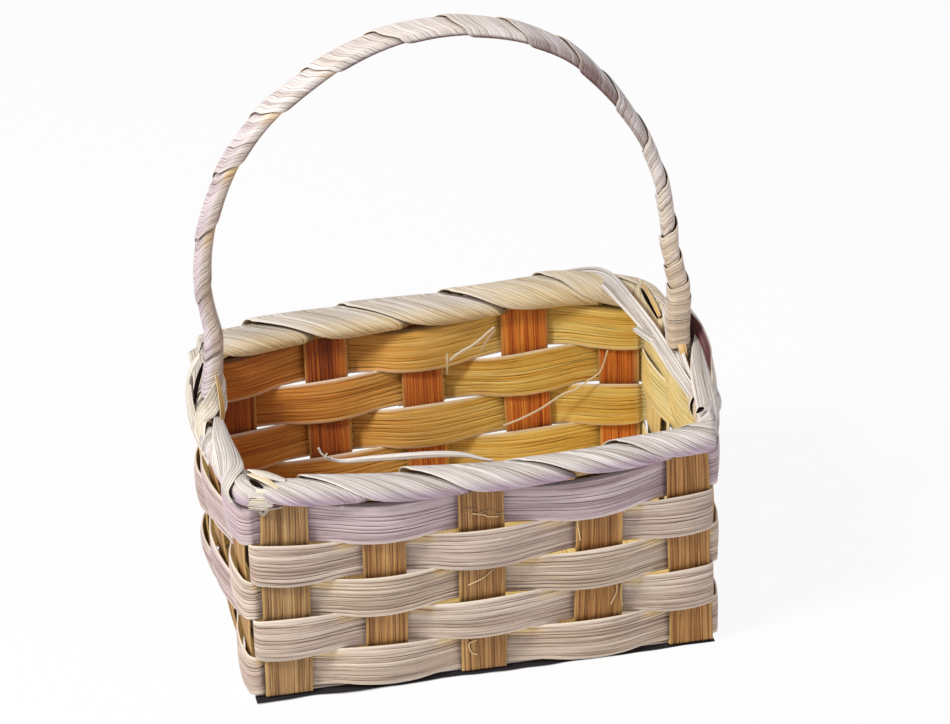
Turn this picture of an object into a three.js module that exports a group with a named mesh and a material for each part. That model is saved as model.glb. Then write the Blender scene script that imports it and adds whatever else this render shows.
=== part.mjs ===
// A bamboo gift basket: a rectangular body plaited from broad flat splints, a rim of two
// hoops bound by a broad splint, and a fixed arched handle whose pointed ends are pushed
// down into the two end walls. Millimetres, +Z up, X along the handle, -Y the front. The
// origin is under the middle of the base, on the surface that the basket stands on.

import * as THREE from 'three';

// Splints of the body
const splintThickness = 1.2;
const stakeWidth = 20;
const clearance = 0.35;
const crossingMargin = 0.5;
const weaverCrown = 0.8;
const crownShoulder = 0.4;

// Body, measured on the middle of the woven wall
const wallLength = 198;
const wallWidth = 128;
const wallHeight = 93;
const cornerRadius = 3.5;
const stakeToCorner = 0.6;
const turnRadius = 1.5;
const rowCount = 5;
const rowGap = 0.8;
const crossStakeCount = 5;
const longStakeCount = 3;

// Cross stakes that stray from their even places: at the front, at the back, and from the
// foot of the front wall to its top
const stakeStrays = {
  1: { front: 0, back: 0, lean: 1.5 },
  3: { front: -1, back: 0, lean: -1 },
  4: { front: 5.5, back: 4, lean: 1 },
};
const straight = { front: 0, back: 0, lean: 0 };

// How the hand-plaited wall has settled out of true, at the height of its top edge
const frontBow = 8;
const backBow = 12;
const endBow = 5;
const frontSag = 1.5;
const backRise = 5;
const backRisePlace = 66;
const backRiseSpread = 32;

// Rim: a split hoop on each side of the stake tops, and the splint wound round both
const hoopHalfThickness = 4.8;
const hoopHalfHeight = 5.2;
const hoopClearance = 0.5;
const stakeEndRise = 4;
const tightestRadius = 0.8;
const wrapThickness = 1;
const wrapLift = 0.7;
const wrapWidth = 26;
const cornerWrapWidth = 15;
const cornerPassWidth = 9;
const passMargin = 1.5;

// Lashing that crosses over each foot of the handle, and the wrap turns that start beside it
const lashingWidth = 10;
const lashingPassWidth = 9;
const lashingTop = 13.5;
const lashingPass = 20;
const lashingRise = Math.PI / 2;
const lashingSteepness = 2.5;
const firstTurnTop = 27;
const firstTurnPass = 32.5;
const firstTurnWidth = 13;
const firstPassWidth = 11;

// Handle: a flat strip bent to an arch, thinned to a pointed tongue at both ends
const handleHeight = 273;
const handleHalfSpan = 99.5;
const handleSpringing = 163;
const handleLean = 4;
const leanCentre = 197;
const leanReach = 60;
const stripWidth = 10.6;
const stripThickness = 2.6;
const stripEdge = 1.6;
const tongueWidth = 7;
const tongueTipWidth = 2.5;
const tongueThickness = 1.5;
const tongueRows = 2.5;
const footHeight = 4;

// Splint wound round the handle
const handleWrapThickness = 0.9;
const handleWrapLift = 0.45;
const handleWrapStart = 1;
const leftPitch = 30;
const rightPitch = 23;
const seamGap = 1.2;

// Fineness of the curves
const gapSteps = 5;
const cornerSteps = 4;
const turnSteps = 3;
const hoopStep = 15;
const hoopArcPoints = 6;
const halfTurnSteps = 6;
const wrapSpans = 3;
const archSteps = 36;
const footSteps = 6;
const legSteps = 4;

// Sizes that follow from the ones above
const layer = splintThickness + clearance;
const tongueLayer = tongueThickness + clearance;
const cornerGap = cornerRadius + stakeToCorner;
const cornerSpan = (cornerRadius + hoopHalfThickness) * Math.PI / 2;
const lowestRow = splintThickness + turnRadius / 2 + clearance;
const rowPitch = (wallHeight - lowestRow) / rowCount;
const rimCentre = wallHeight + hoopHalfHeight + wrapLift + wrapThickness + rowGap / 4;
const rimTop = rimCentre + hoopHalfHeight + wrapLift + wrapThickness;
const stakeTop = rimCentre + stakeEndRise;
const slotHalf = splintThickness / 2 + hoopClearance;
const quarterTurn = Math.PI / 2;

const colours = {
  stake: 0xb98c50,
  weaver: 0xd8c8b4,
  rim: 0xe9e6e2,
  hoop: 0xcdb487,
  handle: 0xbf9c62,
  handleWrap: 0xe0d9cd,
};

function smooth(mix) {
  return mix * mix * (3 - 2 * mix);
}

function clamp(value) {
  return Math.min(1, Math.max(0, value));
}

// The four walls in order round the basket, seen from above: front, right, back, left.
const walls = [
  { run: [1, 0], out: [0, -1], length: wallLength, reach: wallWidth / 2 },
  { run: [0, 1], out: [1, 0], length: wallWidth, reach: wallLength / 2 },
  { run: [-1, 0], out: [0, 1], length: wallLength, reach: wallWidth / 2 },
  { run: [0, -1], out: [-1, 0], length: wallWidth, reach: wallLength / 2 },
];

let perimeter = 0;
for (const wall of walls) {
  wall.straight = wall.length - 2 * cornerRadius;
  wall.start = perimeter;
  perimeter += wall.straight + cornerSpan;
}

// The place along the perimeter of a point that lies this far from the middle of a wall.
function alongWall(wallIndex, fromMiddle) {
  const wall = walls[wallIndex];
  return wall.start + wall.straight / 2 + fromMiddle;
}

// The plan of the wall: nested rounded rectangles, one for each distance outward. A place
// along the perimeter has the same number on all of them.
function planPoint(along, outward) {
  const radius = Math.max(cornerRadius + outward, tightestRadius);
  let rest = ((along % perimeter) + perimeter) % perimeter;
  let wall = walls[0];
  for (const candidate of walls) {
    if (rest >= candidate.start) wall = candidate;
  }
  rest -= wall.start;
  const halfStraight = wall.length / 2 + outward - radius;
  const bend = clamp((rest - wall.straight) / cornerSpan) * quarterTurn;
  const share = Math.min(rest / wall.straight, 1) * 2 - 1;
  const run = halfStraight * share + radius * Math.sin(bend);
  const out = wall.reach + outward - radius + radius * Math.cos(bend);
  return [wall.run[0] * run + wall.out[0] * out, wall.run[1] * run + wall.out[1] * out];
}

// The four walls bow outward towards their middle, more the higher up. The front sags in the
// middle and the back rises towards its right.
function settle(x, y, z) {
  const height = z / wallHeight;
  const end = 2 * x / wallLength;
  const side = 2 * y / wallWidth;
  const middle = 1 - end * end;
  const longBow = (side < 0 ? frontBow : backBow) * middle;
  const shortBow = endBow * (1 - side * side);
  const hump = Math.exp(-(((x - backRisePlace) / backRiseSpread) ** 2));
  const lift = side < 0 ? frontSag * middle : backRise * hump;
  return new THREE.Vector3(
    x + end * shortBow * height,
    y + side * longBow * height,
    z + side * lift * height,
  );
}

function placeOnWall(along, outward, height) {
  const [x, y] = planPoint(along, outward);
  return settle(x, y, height);
}

// A closed solid through a row of sections, each a ring of points in the same order.
function loft(sections) {
  const ringSize = sections[0].length;
  const positions = sections.flat().flatMap((point) => [point.x, point.y, point.z]);
  const indices = [];
  const quad = (a, b, c, d) => indices.push(a, b, c, a, c, d);
  for (let ring = 0; ring < sections.length - 1; ring++) {
    for (let corner = 0; corner < ringSize; corner++) {
      const next = (corner + 1) % ringSize;
      const here = ring * ringSize;
      const there = here + ringSize;
      quad(here + corner, there + corner, there + next, here + next);
    }
  }
  const lastRing = (sections.length - 1) * ringSize;
  for (let corner = 0; corner < ringSize / 2 - 1; corner++) {
    const across = ringSize - 1 - corner;
    quad(corner, corner + 1, across - 1, across);
    quad(lastRing + across, lastRing + across - 1, lastRing + corner + 1, lastRing + corner);
  }
  return solidFrom(positions, indices);
}

// A closed solid whose last section joins its first.
function loftRound(sections) {
  const ringSize = sections[0].length;
  const positions = sections.flat().flatMap((point) => [point.x, point.y, point.z]);
  const indices = [];
  for (let ring = 0; ring < sections.length; ring++) {
    for (let corner = 0; corner < ringSize; corner++) {
      const next = (corner + 1) % ringSize;
      const here = ring * ringSize;
      const there = ((ring + 1) % sections.length) * ringSize;
      indices.push(here + corner, there + corner, there + next);
      indices.push(here + corner, there + next, here + next);
    }
  }
  return solidFrom(positions, indices);
}

// The faces are turned the other way round when they point into the solid.
function solidFrom(positions, indices) {
  const corner = (index) => new THREE.Vector3().fromArray(positions, index * 3);
  let volume = 0;
  for (let face = 0; face < indices.length; face += 3) {
    const [a, b, c] = indices.slice(face, face + 3).map(corner);
    volume += a.dot(b.cross(c));
  }
  if (volume < 0) indices.reverse();
  const geometry = new THREE.BufferGeometry();
  geometry.setAttribute('position', new THREE.Float32BufferAttribute(positions, 3));
  geometry.setIndex(indices);
  geometry.computeVertexNormals();
  return geometry;
}

const basket = new THREE.Group();

function addPiece(name, geometry, colour) {
  const material = new THREE.MeshStandardMaterial({ color: colour, roughness: 0.6, metalness: 0 });
  const piece = new THREE.Mesh(geometry, material);
  piece.name = name;
  basket.add(piece);
}

// Places of the stakes. A cross stake runs up the front, under the base and up the back; a
// long stake does the same through the two ends.
function spread(count, span) {
  const outermost = span / 2 - cornerGap - stakeWidth / 2;
  const spacing = 2 * outermost / (count - 1);
  return Array.from({ length: count }, (_, index) => index * spacing - outermost);
}

const longStakes = spread(longStakeCount, wallWidth)
  .map((place) => ({ start: place, end: place, lean: 0 }));
const crossStakes = spread(crossStakeCount, wallLength).map((place, index) => {
  const { front, back, lean } = stakeStrays[index + 1] ?? straight;
  return { start: place + front, end: place + back, lean };
});

const handleStake = (longStakeCount - 1) / 2;
function endStake(wallIndex, place, index) {
  return { along: alongWall(wallIndex, place), lean: 0, handle: index === handleStake };
}

const stakesAround = [
  ...crossStakes.map((stake) => ({ along: alongWall(0, stake.start), lean: stake.lean })),
  ...longStakes.map((stake, index) => endStake(1, stake.end, index)),
  ...crossStakes.map((stake) => ({ along: alongWall(2, -stake.end), lean: 0 })).reverse(),
  ...longStakes.map((stake, index) => endStake(3, -stake.start, index)).reverse(),
];

// Where a stake stands along the perimeter at this height.
function stakeAlong(stake, height) {
  return stake.along + stake.lean * height / wallHeight;
}

// Height of the middle of a base splint: low where it lies under the one that it crosses.
function baseLevel(isLow) {
  return splintThickness / 2 + (isLow ? 0 : layer);
}

// The path of one stake from wall top to wall top, as places across the base and heights.
function stakePath(span, crossings) {
  const low = baseLevel(true);
  const turn = [];
  for (let step = 0; step <= turnSteps; step++) {
    const angle = quarterTurn * step / turnSteps;
    const across = span / 2 - turnRadius + turnRadius * Math.cos(angle);
    turn.push([across, low + turnRadius - turnRadius * Math.sin(angle)]);
  }
  const wall = [[span / 2, stakeTop], [span / 2, wallHeight], [span / 2, wallHeight / 2]];
  const mirrored = [...wall, ...turn].map(([across, height]) => [-across, height]);
  const reach = stakeWidth / 2 + crossingMargin;
  const base = [];
  let last = mirrored[mirrored.length - 1];
  for (const crossing of crossings) {
    const level = baseLevel(crossing.isLow);
    const arrive = crossing.place - reach;
    base.push([(last[0] + arrive) / 2, (last[1] + level) / 2]);
    last = [crossing.place + reach, level];
    base.push([arrive, level], last);
  }
  const finish = turn[turn.length - 1];
  base.push([(last[0] + finish[0]) / 2, (last[1] + finish[1]) / 2]);
  return [...mirrored, ...base, ...turn.reverse(), ...wall.reverse()];
}

// Sections of a stake: its thickness lies square to its path, its width along the wall.
function stakeSections(path, stake, swap) {
  const span = path[path.length - 1][0];
  return path.map(([across, height], index) => {
    const before = path[Math.max(index - 1, 0)];
    const after = path[Math.min(index + 1, path.length - 1)];
    const slope = new THREE.Vector2(after[0] - before[0], after[1] - before[1]).normalize();
    const half = splintThickness / 2;
    const lean = across < 0 ? stake.lean * height / wallHeight : 0;
    const middle = stake.start + (stake.end - stake.start) * (across / span + 1) / 2 + lean;
    const corners = [[-1, 1], [1, 1], [1, -1], [-1, -1]];
    return corners.map(([sideways, inward]) => {
      const place = across - slope.y * half * inward;
      const level = height + slope.x * half * inward;
      const offset = middle + sideways * stakeWidth / 2;
      return swap ? settle(place, offset, level) : settle(offset, place, level);
    });
  });
}

crossStakes.forEach((stake, index) => {
  const crossings = longStakes.map((other, number) => ({
    place: other.start,
    isLow: (index + number) % 2 === 1,
  }));
  const path = stakePath(wallWidth, crossings);
  addPiece(`cross_stake_${index + 1}`, loft(stakeSections(path, stake, false)), colours.stake);
});

longStakes.forEach((stake, index) => {
  const crossings = crossStakes.map((other, number) => ({
    place: (other.start + other.end) / 2,
    isLow: (index + number) % 2 === 0,
  }));
  const path = stakePath(wallLength, crossings);
  addPiece(`long_stake_${index + 1}`, loft(stakeSections(path, stake, true)), colours.stake);
});

// How far out a weaver of this row runs past a stake: outside it or inside it by turns, and
// further in where the tongue of the handle lies between the two.
function weaverSeat(stake, stakeNumber, row) {
  const isOutside = (stakeNumber + row) % 2 === 1;
  const passesTongue = stake.handle && row < tongueRows;
  if (isOutside) return layer;
  return passesTongue ? -layer - tongueLayer : -layer;
}

// One weaver: a flat splint once round the basket, with its end lapped over its start on the
// outside of the back wall.
function weaverSections(row) {
  const stakeCount = stakesAround.length;
  const middleBack = crossStakeCount + longStakeCount + (crossStakeCount - 1) / 2;
  const lapStake = middleBack + (row + 1) % 2;
  const top = wallHeight - row * rowPitch - rowGap / 2;
  const bottom = top - rowPitch + rowGap;
  const reach = stakeWidth / 2 + crossingMargin;
  const line = [];
  for (let count = 0; count <= stakeCount; count++) {
    const number = (lapStake + count) % stakeCount;
    const lap = Math.floor((lapStake + count) / stakeCount) * perimeter;
    const stake = stakesAround[number];
    const isLapped = count === stakeCount;
    const seat = weaverSeat(stake, number, row) + (isLapped ? layer : 0);
    const place = stakeAlong(stake, (top + bottom) / 2) + lap;
    const arrive = place - reach;
    const last = line[line.length - 1];
    for (let step = 1; last && step < gapSteps; step++) {
      const mix = step / gapSteps;
      const along = last.along + (arrive - last.along) * mix;
      line.push({ along, outward: last.outward + (seat - last.outward) * smooth(mix) });
    }
    for (const share of [-1, -crownShoulder, crownShoulder, 1]) {
      const swell = weaverCrown * (1 - share * share) * Math.sign(seat);
      line.push({ along: place + reach * share, outward: seat + swell });
    }
  }
  const half = splintThickness / 2;
  return line.map(({ along, outward }) => [
    placeOnWall(along, outward + half, top),
    placeOnWall(along, outward + half, bottom),
    placeOnWall(along, outward - half, bottom),
    placeOnWall(along, outward - half, top),
  ]);
}

for (let row = 0; row < rowCount; row++) {
  addPiece(`weaver_row_${row + 1}`, loft(weaverSections(row)), colours.weaver);
}

// Where the tongue of the handle passes, the inner hoop is hollowed to let it through.
const handlePlaces = stakesAround.filter((stake) => stake.handle).map((stake) => stake.along);
const hollowFlat = tongueWidth / 2 + crossingMargin;
const hollowReach = hollowFlat + tongueLayer;

function hollowDepth(along) {
  const distance = Math.min(...handlePlaces.map((place) => Math.abs(along - place)));
  return tongueLayer * clamp((hollowReach - distance) / (hollowReach - hollowFlat));
}

// Places round the perimeter where a hoop has a section: evenly along the walls and round the
// corners, and at the ends of the two hollows in place of those that fall within a hollow.
function hoopPlaces() {
  const places = [];
  for (const wall of walls) {
    const steps = Math.ceil(wall.straight / hoopStep);
    for (let step = 0; step < steps; step++) {
      places.push(wall.start + wall.straight * step / steps);
    }
    for (let step = 0; step < cornerSteps; step++) {
      places.push(wall.start + wall.straight + cornerSpan * step / cornerSteps);
    }
  }
  const hollowEnds = handlePlaces.flatMap((place) =>
    [-hollowReach, -hollowFlat, hollowFlat, hollowReach].map((offset) => place + offset));
  return places
    .filter((place) => hollowDepth(place) === 0)
    .concat(hollowEnds)
    .sort((a, b) => a - b);
}

// A hoop is half a round: flat against the stakes, rounded on its other side.
function hoopSections(isOuter) {
  return hoopPlaces().map((along) => {
    const flat = isOuter ? slotHalf : slotHalf + hollowDepth(along);
    const widest = Math.acos(flat / hoopHalfThickness);
    const section = [];
    for (let point = 0; point < hoopArcPoints; point++) {
      const angle = widest * (1 - 2 * point / (hoopArcPoints - 1));
      const outward = hoopHalfThickness * Math.cos(angle) * (isOuter ? 1 : -1);
      section.push(placeOnWall(along, outward, rimCentre + hoopHalfHeight * Math.sin(angle)));
    }
    return section;
  });
}

addPiece('rim_hoop_outer', loftRound(hoopSections(true)), colours.hoop);
addPiece('rim_hoop_inner', loftRound(hoopSections(false)), colours.hoop);

// A point over the rim: the turn is a quarter turn on top, nought outside the basket, a
// quarter turn back underneath and a half turn back inside it.
function placeOnRim(along, turn, lift) {
  const outward = (hoopHalfThickness + lift) * Math.cos(turn);
  const height = rimCentre + (hoopHalfHeight + lift) * Math.sin(turn);
  return placeOnWall(along, outward, height);
}

// One section of a splint wound round something: its width lies along what it is wound on.
function ribbonSection(place, { along, turn, width, lift }, thickness, spans) {
  const outer = [];
  const inner = [];
  for (let span = 0; span <= spans; span++) {
    const across = along + width * (span / spans - 0.5);
    outer.push(place(across, turn, lift + thickness));
    inner.unshift(place(across, turn, lift));
  }
  return [...outer, ...inner];
}

// Stations of a splint that winds from knot to knot, each half a turn from the one before.
function windThrough(knots) {
  const stations = [knots[0]];
  for (let index = 1; index < knots.length; index++) {
    const from = knots[index - 1];
    const to = knots[index];
    for (let step = 1; step <= halfTurnSteps; step++) {
      const mix = step / halfTurnSteps;
      const between = (name) => from[name] + (to[name] - from[name]) * mix;
      stations.push({
        along: between('along'),
        turn: between('turn'),
        width: between('width'),
        lift: between('lift'),
      });
    }
  }
  return stations;
}

// The rim wrap from one foot of the handle to the other. It passes through the wall once in
// each gap between two stakes and over the rim once at each stake. It is narrower where it
// rounds a corner, and where it starts and ends beside a lashing.
function rimWrapKnots(firstStake, lastStake) {
  const stakeCount = stakesAround.length;
  const placeOf = (number) => stakeAlong(stakesAround[number % stakeCount], wallHeight)
    + Math.floor(number / stakeCount) * perimeter;
  const hasCorner = (from, to) => walls.some((wall) => {
    const corner = wall.start + wall.straight + cornerSpan / 2;
    return [corner, corner + perimeter].some((place) => place > from && place < to);
  });
  const start = placeOf(firstStake);
  const finish = placeOf(lastStake);
  const knots = [
    { along: start + firstTurnTop, width: firstTurnWidth },
    { along: start + firstTurnPass, width: firstPassWidth },
  ];
  for (let number = firstStake + 1; number < lastStake; number++) {
    const here = placeOf(number);
    const next = placeOf(number + 1);
    const isNearFoot = number === firstStake + 1 || number === lastStake - 1;
    const roundsCorner = hasCorner(here, next);
    const isBesideCorner = roundsCorner || hasCorner(placeOf(number - 1), here);
    knots.push({ along: here, width: isNearFoot || isBesideCorner ? cornerWrapWidth : wrapWidth });
    if (number < lastStake - 1) {
      const gapWidth = next - here - stakeWidth - 2 * passMargin;
      knots.push({ along: (here + next) / 2, width: roundsCorner ? cornerPassWidth : gapWidth });
    }
  }
  knots.push(
    { along: finish - firstTurnPass, width: firstPassWidth },
    { along: finish - firstTurnTop, width: firstTurnWidth },
  );
  return knots.map((knot, index) => ({ ...knot, turn: quarterTurn * (1 - 2 * index), lift: wrapLift }));
}

const rightFoot = crossStakeCount + handleStake;
const leftFoot = 2 * crossStakeCount + longStakeCount + handleStake;
const wraps = {
  rim_wrap_front: rimWrapKnots(leftFoot, rightFoot + stakesAround.length),
  rim_wrap_back: rimWrapKnots(rightFoot, leftFoot),
};

for (const [name, knots] of Object.entries(wraps)) {
  const sections = windThrough(knots).map((station) =>
    ribbonSection(placeOnRim, station, wrapThickness, wrapSpans));
  addPiece(name, loft(sections), colours.rim);
}

// The lashing of a foot: one closed band that crosses itself on the outside of the wall and
// passes over the rim on both sides of the handle.
function lashingStations(foot) {
  const knots = [
    { along: foot - lashingPass, turn: -quarterTurn, width: lashingPassWidth, lift: wrapLift },
    { along: foot + lashingTop, turn: quarterTurn, width: lashingWidth, lift: wrapLift },
    { along: foot + lashingPass, turn: 3 * quarterTurn, width: lashingPassWidth, lift: wrapLift },
    { along: foot - lashingTop, turn: 5 * quarterTurn, width: lashingWidth, lift: wrapLift },
    { along: foot - lashingPass, turn: 7 * quarterTurn, width: lashingPassWidth, lift: wrapLift },
  ];
  const stations = windThrough(knots).slice(0, -1);
  const raised = wrapThickness + clearance;
  return stations.map((station) => {
    const fromCrossing = Math.abs(station.turn - 4 * quarterTurn);
    const nearness = clamp((lashingRise - fromCrossing) / lashingRise);
    return { ...station, lift: wrapLift + raised * smooth(clamp(nearness * lashingSteepness)) };
  });
}

const feet = { right: handlePlaces[0], left: handlePlaces[1] };
for (const [side, foot] of Object.entries(feet)) {
  const sections = lashingStations(foot).map((station) =>
    ribbonSection(placeOnRim, station, wrapThickness, 1));
  addPiece(`handle_lashing_${side}`, loftRound(sections), colours.rim);
}

// Middle line of the handle strip from tongue tip to tongue tip, through both end walls. The
// arch leans to the left between its feet and its crown.
const tongueTip = wallHeight - tongueRows * rowPitch;
const footTop = rimTop + footHeight;
const tonguePlace = wallLength / 2 - splintThickness / 2 - clearance - tongueThickness / 2;
const archTop = handleHeight - handleWrapThickness - handleWrapLift - stripThickness / 2;

function handleLine() {
  const leg = [tongueTip, (tongueTip + wallHeight) / 2, wallHeight, stakeTop]
    .map((height) => [settle(tonguePlace, 0, height).x, height]);
  const [tongueEnd] = leg[leg.length - 1];
  const climb = (from, to, steps) => {
    for (let step = 1; step <= steps; step++) {
      const height = from + (to - from) * step / steps;
      const mix = (height - stakeTop) / (handleSpringing - stakeTop);
      leg.push([tongueEnd + (handleHalfSpan - tongueEnd) * smooth(mix), height]);
    }
  };
  climb(stakeTop, footTop, footSteps);
  climb(footTop, handleSpringing, legSteps);
  const arch = [];
  for (let step = 1; step < archSteps; step++) {
    const angle = Math.PI * step / archSteps;
    const height = handleSpringing + (archTop - handleSpringing) * Math.sin(angle);
    arch.push([-handleHalfSpan * Math.cos(angle), height]);
  }
  const leftLeg = leg.map(([out, height]) => [-out, height]);
  return [...leftLeg, ...arch, ...leg.reverse()].map(([x, height]) => {
    const fromCentre = Math.abs(height - leanCentre) / leanReach;
    const lean = handleLean * smooth(clamp(1 - fromCentre ** 3));
    return new THREE.Vector3(x - lean, 0, height);
  });
}

// Half width and half thickness of the strip at this height: full size on the arch, thinned
// through the rim and drawn to a point further down.
function stripSize(height) {
  const foot = clamp((height - rimTop) / footHeight);
  const point = clamp((rimCentre - height) / (rimCentre - tongueTip));
  const tongue = tongueWidth + (tongueTipWidth - tongueWidth) * point;
  const width = tongue + (stripWidth - tongue) * smooth(foot);
  const thickness = tongueThickness + (stripThickness - tongueThickness) * smooth(foot);
  return { width: width / 2, thickness: thickness / 2 };
}

// The strip's section is a flat bar with its edges taken off. Corner numbers run round it.
function stripCorner(width, thickness, number) {
  const edge = Math.max(width - stripEdge, width / 2);
  const corners = [[width, 0], [edge, thickness], [-edge, thickness],
    [-width, 0], [-edge, -thickness], [edge, -thickness]];
  return corners[((number % 6) + 6) % 6];
}

function archNormal(line, index) {
  const before = line[Math.max(index - 1, 0)];
  const after = line[Math.min(index + 1, line.length - 1)];
  const tangent = after.clone().sub(before).normalize();
  return new THREE.Vector3(-tangent.z, 0, tangent.x);
}

const archLine = handleLine();
const coreSections = archLine.map((point, index) => {
  const normal = archNormal(archLine, index);
  const { width, thickness } = stripSize(point.z);
  return [1, 2, 3, 4, 5, 6].map((number) => {
    const [sideways, outward] = stripCorner(width, thickness, number);
    return point.clone().addScaledVector(normal, outward).add(new THREE.Vector3(0, sideways, 0));
  });
});

addPiece('handle_core', loft(coreSections), colours.handle);

// Distances along the middle line, so that the wrap can be wound by length.
const distances = [0];
for (let index = 1; index < archLine.length; index++) {
  distances.push(distances[index - 1] + archLine[index].distanceTo(archLine[index - 1]));
}

// A point over the handle: the distance along it, the corner of the strip and the lift.
function placeOnHandle(distance, corner, lift) {
  let index = 1;
  while (index < archLine.length - 1 && distances[index] < distance) index += 1;
  const mix = (distance - distances[index - 1]) / (distances[index] - distances[index - 1]);
  const point = archLine[index - 1].clone().lerp(archLine[index], mix);
  const normal = archNormal(archLine, index - 1).lerp(archNormal(archLine, index), mix).normalize();
  const size = stripSize(point.z);
  const [sideways, outward] = stripCorner(size.width + lift, size.thickness + lift, corner);
  return point.addScaledVector(normal, outward).add(new THREE.Vector3(0, sideways, 0));
}

// The handle wrap: one splint, right-handed, its turns closer together on the right half.
const footIndex = archLine.findIndex((point) => point.z > footTop - clearance);
const wrapStartDistance = distances[footIndex] + handleWrapStart;
const wrapLength = distances[distances.length - 1] - 2 * wrapStartDistance;
const wrapTurns = 2 * wrapLength / (leftPitch + rightPitch) - 1;
const cornersPerTurn = 6;
const handleWrapSections = [];
for (let step = 0; step <= Math.floor(wrapTurns * cornersPerTurn); step++) {
  const turns = step / cornersPerTurn;
  const pitch = leftPitch + (rightPitch - leftPitch) * turns / wrapTurns;
  const wound = leftPitch * turns + (rightPitch - leftPitch) * turns * turns / (2 * wrapTurns);
  const width = pitch - seamGap;
  const station = { along: wrapStartDistance + width / 2 + wound, turn: step, width, lift: handleWrapLift };
  handleWrapSections.push(ribbonSection(placeOnHandle, station, handleWrapThickness, wrapSpans));
}

addPiece('handle_wrap', loft(handleWrapSections), colours.handleWrap);

export default basket;
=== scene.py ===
# A plaited bamboo basket with a wound rim and a wound arched handle, dressed for rendering.
# Working lengths are millimetres; add_piece turns them into metres.

import math

import bpy
import numpy as np
from mathutils import Matrix, Vector


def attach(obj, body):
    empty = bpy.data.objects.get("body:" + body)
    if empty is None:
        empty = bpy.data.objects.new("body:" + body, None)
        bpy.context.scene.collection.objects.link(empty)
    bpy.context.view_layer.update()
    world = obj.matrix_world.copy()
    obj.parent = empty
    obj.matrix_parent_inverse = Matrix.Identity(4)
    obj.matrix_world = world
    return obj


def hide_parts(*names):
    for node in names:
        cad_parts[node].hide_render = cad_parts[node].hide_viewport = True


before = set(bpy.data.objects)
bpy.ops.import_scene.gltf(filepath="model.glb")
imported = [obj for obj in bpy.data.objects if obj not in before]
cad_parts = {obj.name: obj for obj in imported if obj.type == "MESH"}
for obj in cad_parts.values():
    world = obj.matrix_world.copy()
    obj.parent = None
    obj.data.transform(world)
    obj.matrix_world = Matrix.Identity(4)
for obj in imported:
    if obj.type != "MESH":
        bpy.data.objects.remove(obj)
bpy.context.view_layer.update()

MM = 0.001
QUARTER = math.pi / 2

# The body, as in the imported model, but with splints that are 0.1 mm thinner
WALL_LENGTH = 198
WALL_WIDTH = 128
WALL_HEIGHT = 93
CORNER_RADIUS = 3.5
STAKE_TO_CORNER = 0.6
STAKE_WIDTH = 20
SPLINT_THICKNESS = 1.1
CLEARANCE = 0.35
ROW_COUNT = 5
CROSS_COUNT = 5
LONG_COUNT = 3
TURN_RADIUS = 1.5
LOWEST_ROW = 2.3
FRONT_BOW = 8
BACK_BOW = 12
END_BOW = 5
FRONT_SAG = 1.5
BACK_RISE = 5
BACK_RISE_HUMP = (66, 32)

# The left end wall swells out between its foot and the rim, most at one place along it
SWELL = 3.0
SWELL_HUMP = (32, 28)
SWELL_TOP = (98, 90)
END_WALL_SHARE = 0.9

# How each cross stake strays at the front and at the back, how far it leans, and its width at
# the front and at the back
STAKE_STRAYS = (
    (0, 0, 1.5, 20, 19),
    (0, -0.5, 0, 17.8, 19),
    (-1, 0, -1, 19.6, 17.8),
    (5.5, 4, 1, 20.6, 20.6),
    (4, 2.6, -1.5, 18.6, 18),
)

# The rim, pressed in at its front right corner (1) and at its back left one (-1)
RIM_HALF_THICKNESS = 4.8
RIM_HALF_HEIGHT = 5.2
RIM_CENTRE = 100.1
WRAP_LIFT = 0.6
PRESS = 0.75
CORNER_PRESS_FROM = {1: 36, -1: 6}
CORNER_PRESS_OVER = 22
STAKE_TOP = 104

LAYER = SPLINT_THICKNESS + CLEARANCE
TONGUE_LAYER = 1.85
TONGUE_ROWS = 2.5
CORNER_SPAN = (CORNER_RADIUS + RIM_HALF_THICKNESS) * QUARTER
CORNER_GAP = CORNER_RADIUS + STAKE_TO_CORNER
ROW_PITCH = (WALL_HEIGHT - LOWEST_ROW) / ROW_COUNT
TIGHTEST_RADIUS = 0.8


def smooth(mix):
    mix = np.clip(mix, 0, 1)
    return mix * mix * (3 - 2 * mix)


def ease(value, start, end):
    """Nought at start and before it, one at end and past it, and a smooth rise between."""
    return smooth((value - start) / (end - start))


def hump(value, centre, spread):
    return np.exp(-(((value - centre) / spread) ** 2))


def blend(first, second, share):
    return first + (second - first) * share


def unit(vectors):
    return vectors / np.linalg.norm(vectors, axis=-1, keepdims=True)


def path_length(path):
    """The length along a path at each of its points."""
    return np.concatenate([[0], np.cumsum(np.linalg.norm(np.diff(path, axis=0), axis=1))])


# The four walls in order round the basket
FRONT, RIGHT, BACK, LEFT = range(4)
WALL_LENGTHS = np.array([WALL_LENGTH, WALL_WIDTH, WALL_LENGTH, WALL_WIDTH], float)
WALL_REACH = np.roll(WALL_LENGTHS, 1) / 2
WALL_RUN = np.array([[1, 0], [0, 1], [-1, 0], [0, -1]], float)
WALL_OUT = np.array([[0, -1], [1, 0], [0, 1], [-1, 0]], float)
WALL_STRAIGHT = WALL_LENGTHS - 2 * CORNER_RADIUS
WALL_START = np.concatenate([[0], np.cumsum(WALL_STRAIGHT + CORNER_SPAN)[:-1]])
PERIMETER = float(np.sum(WALL_STRAIGHT + CORNER_SPAN))


def along_wall(wall, from_middle):
    return WALL_START[wall] + WALL_STRAIGHT[wall] / 2 + from_middle


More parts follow.
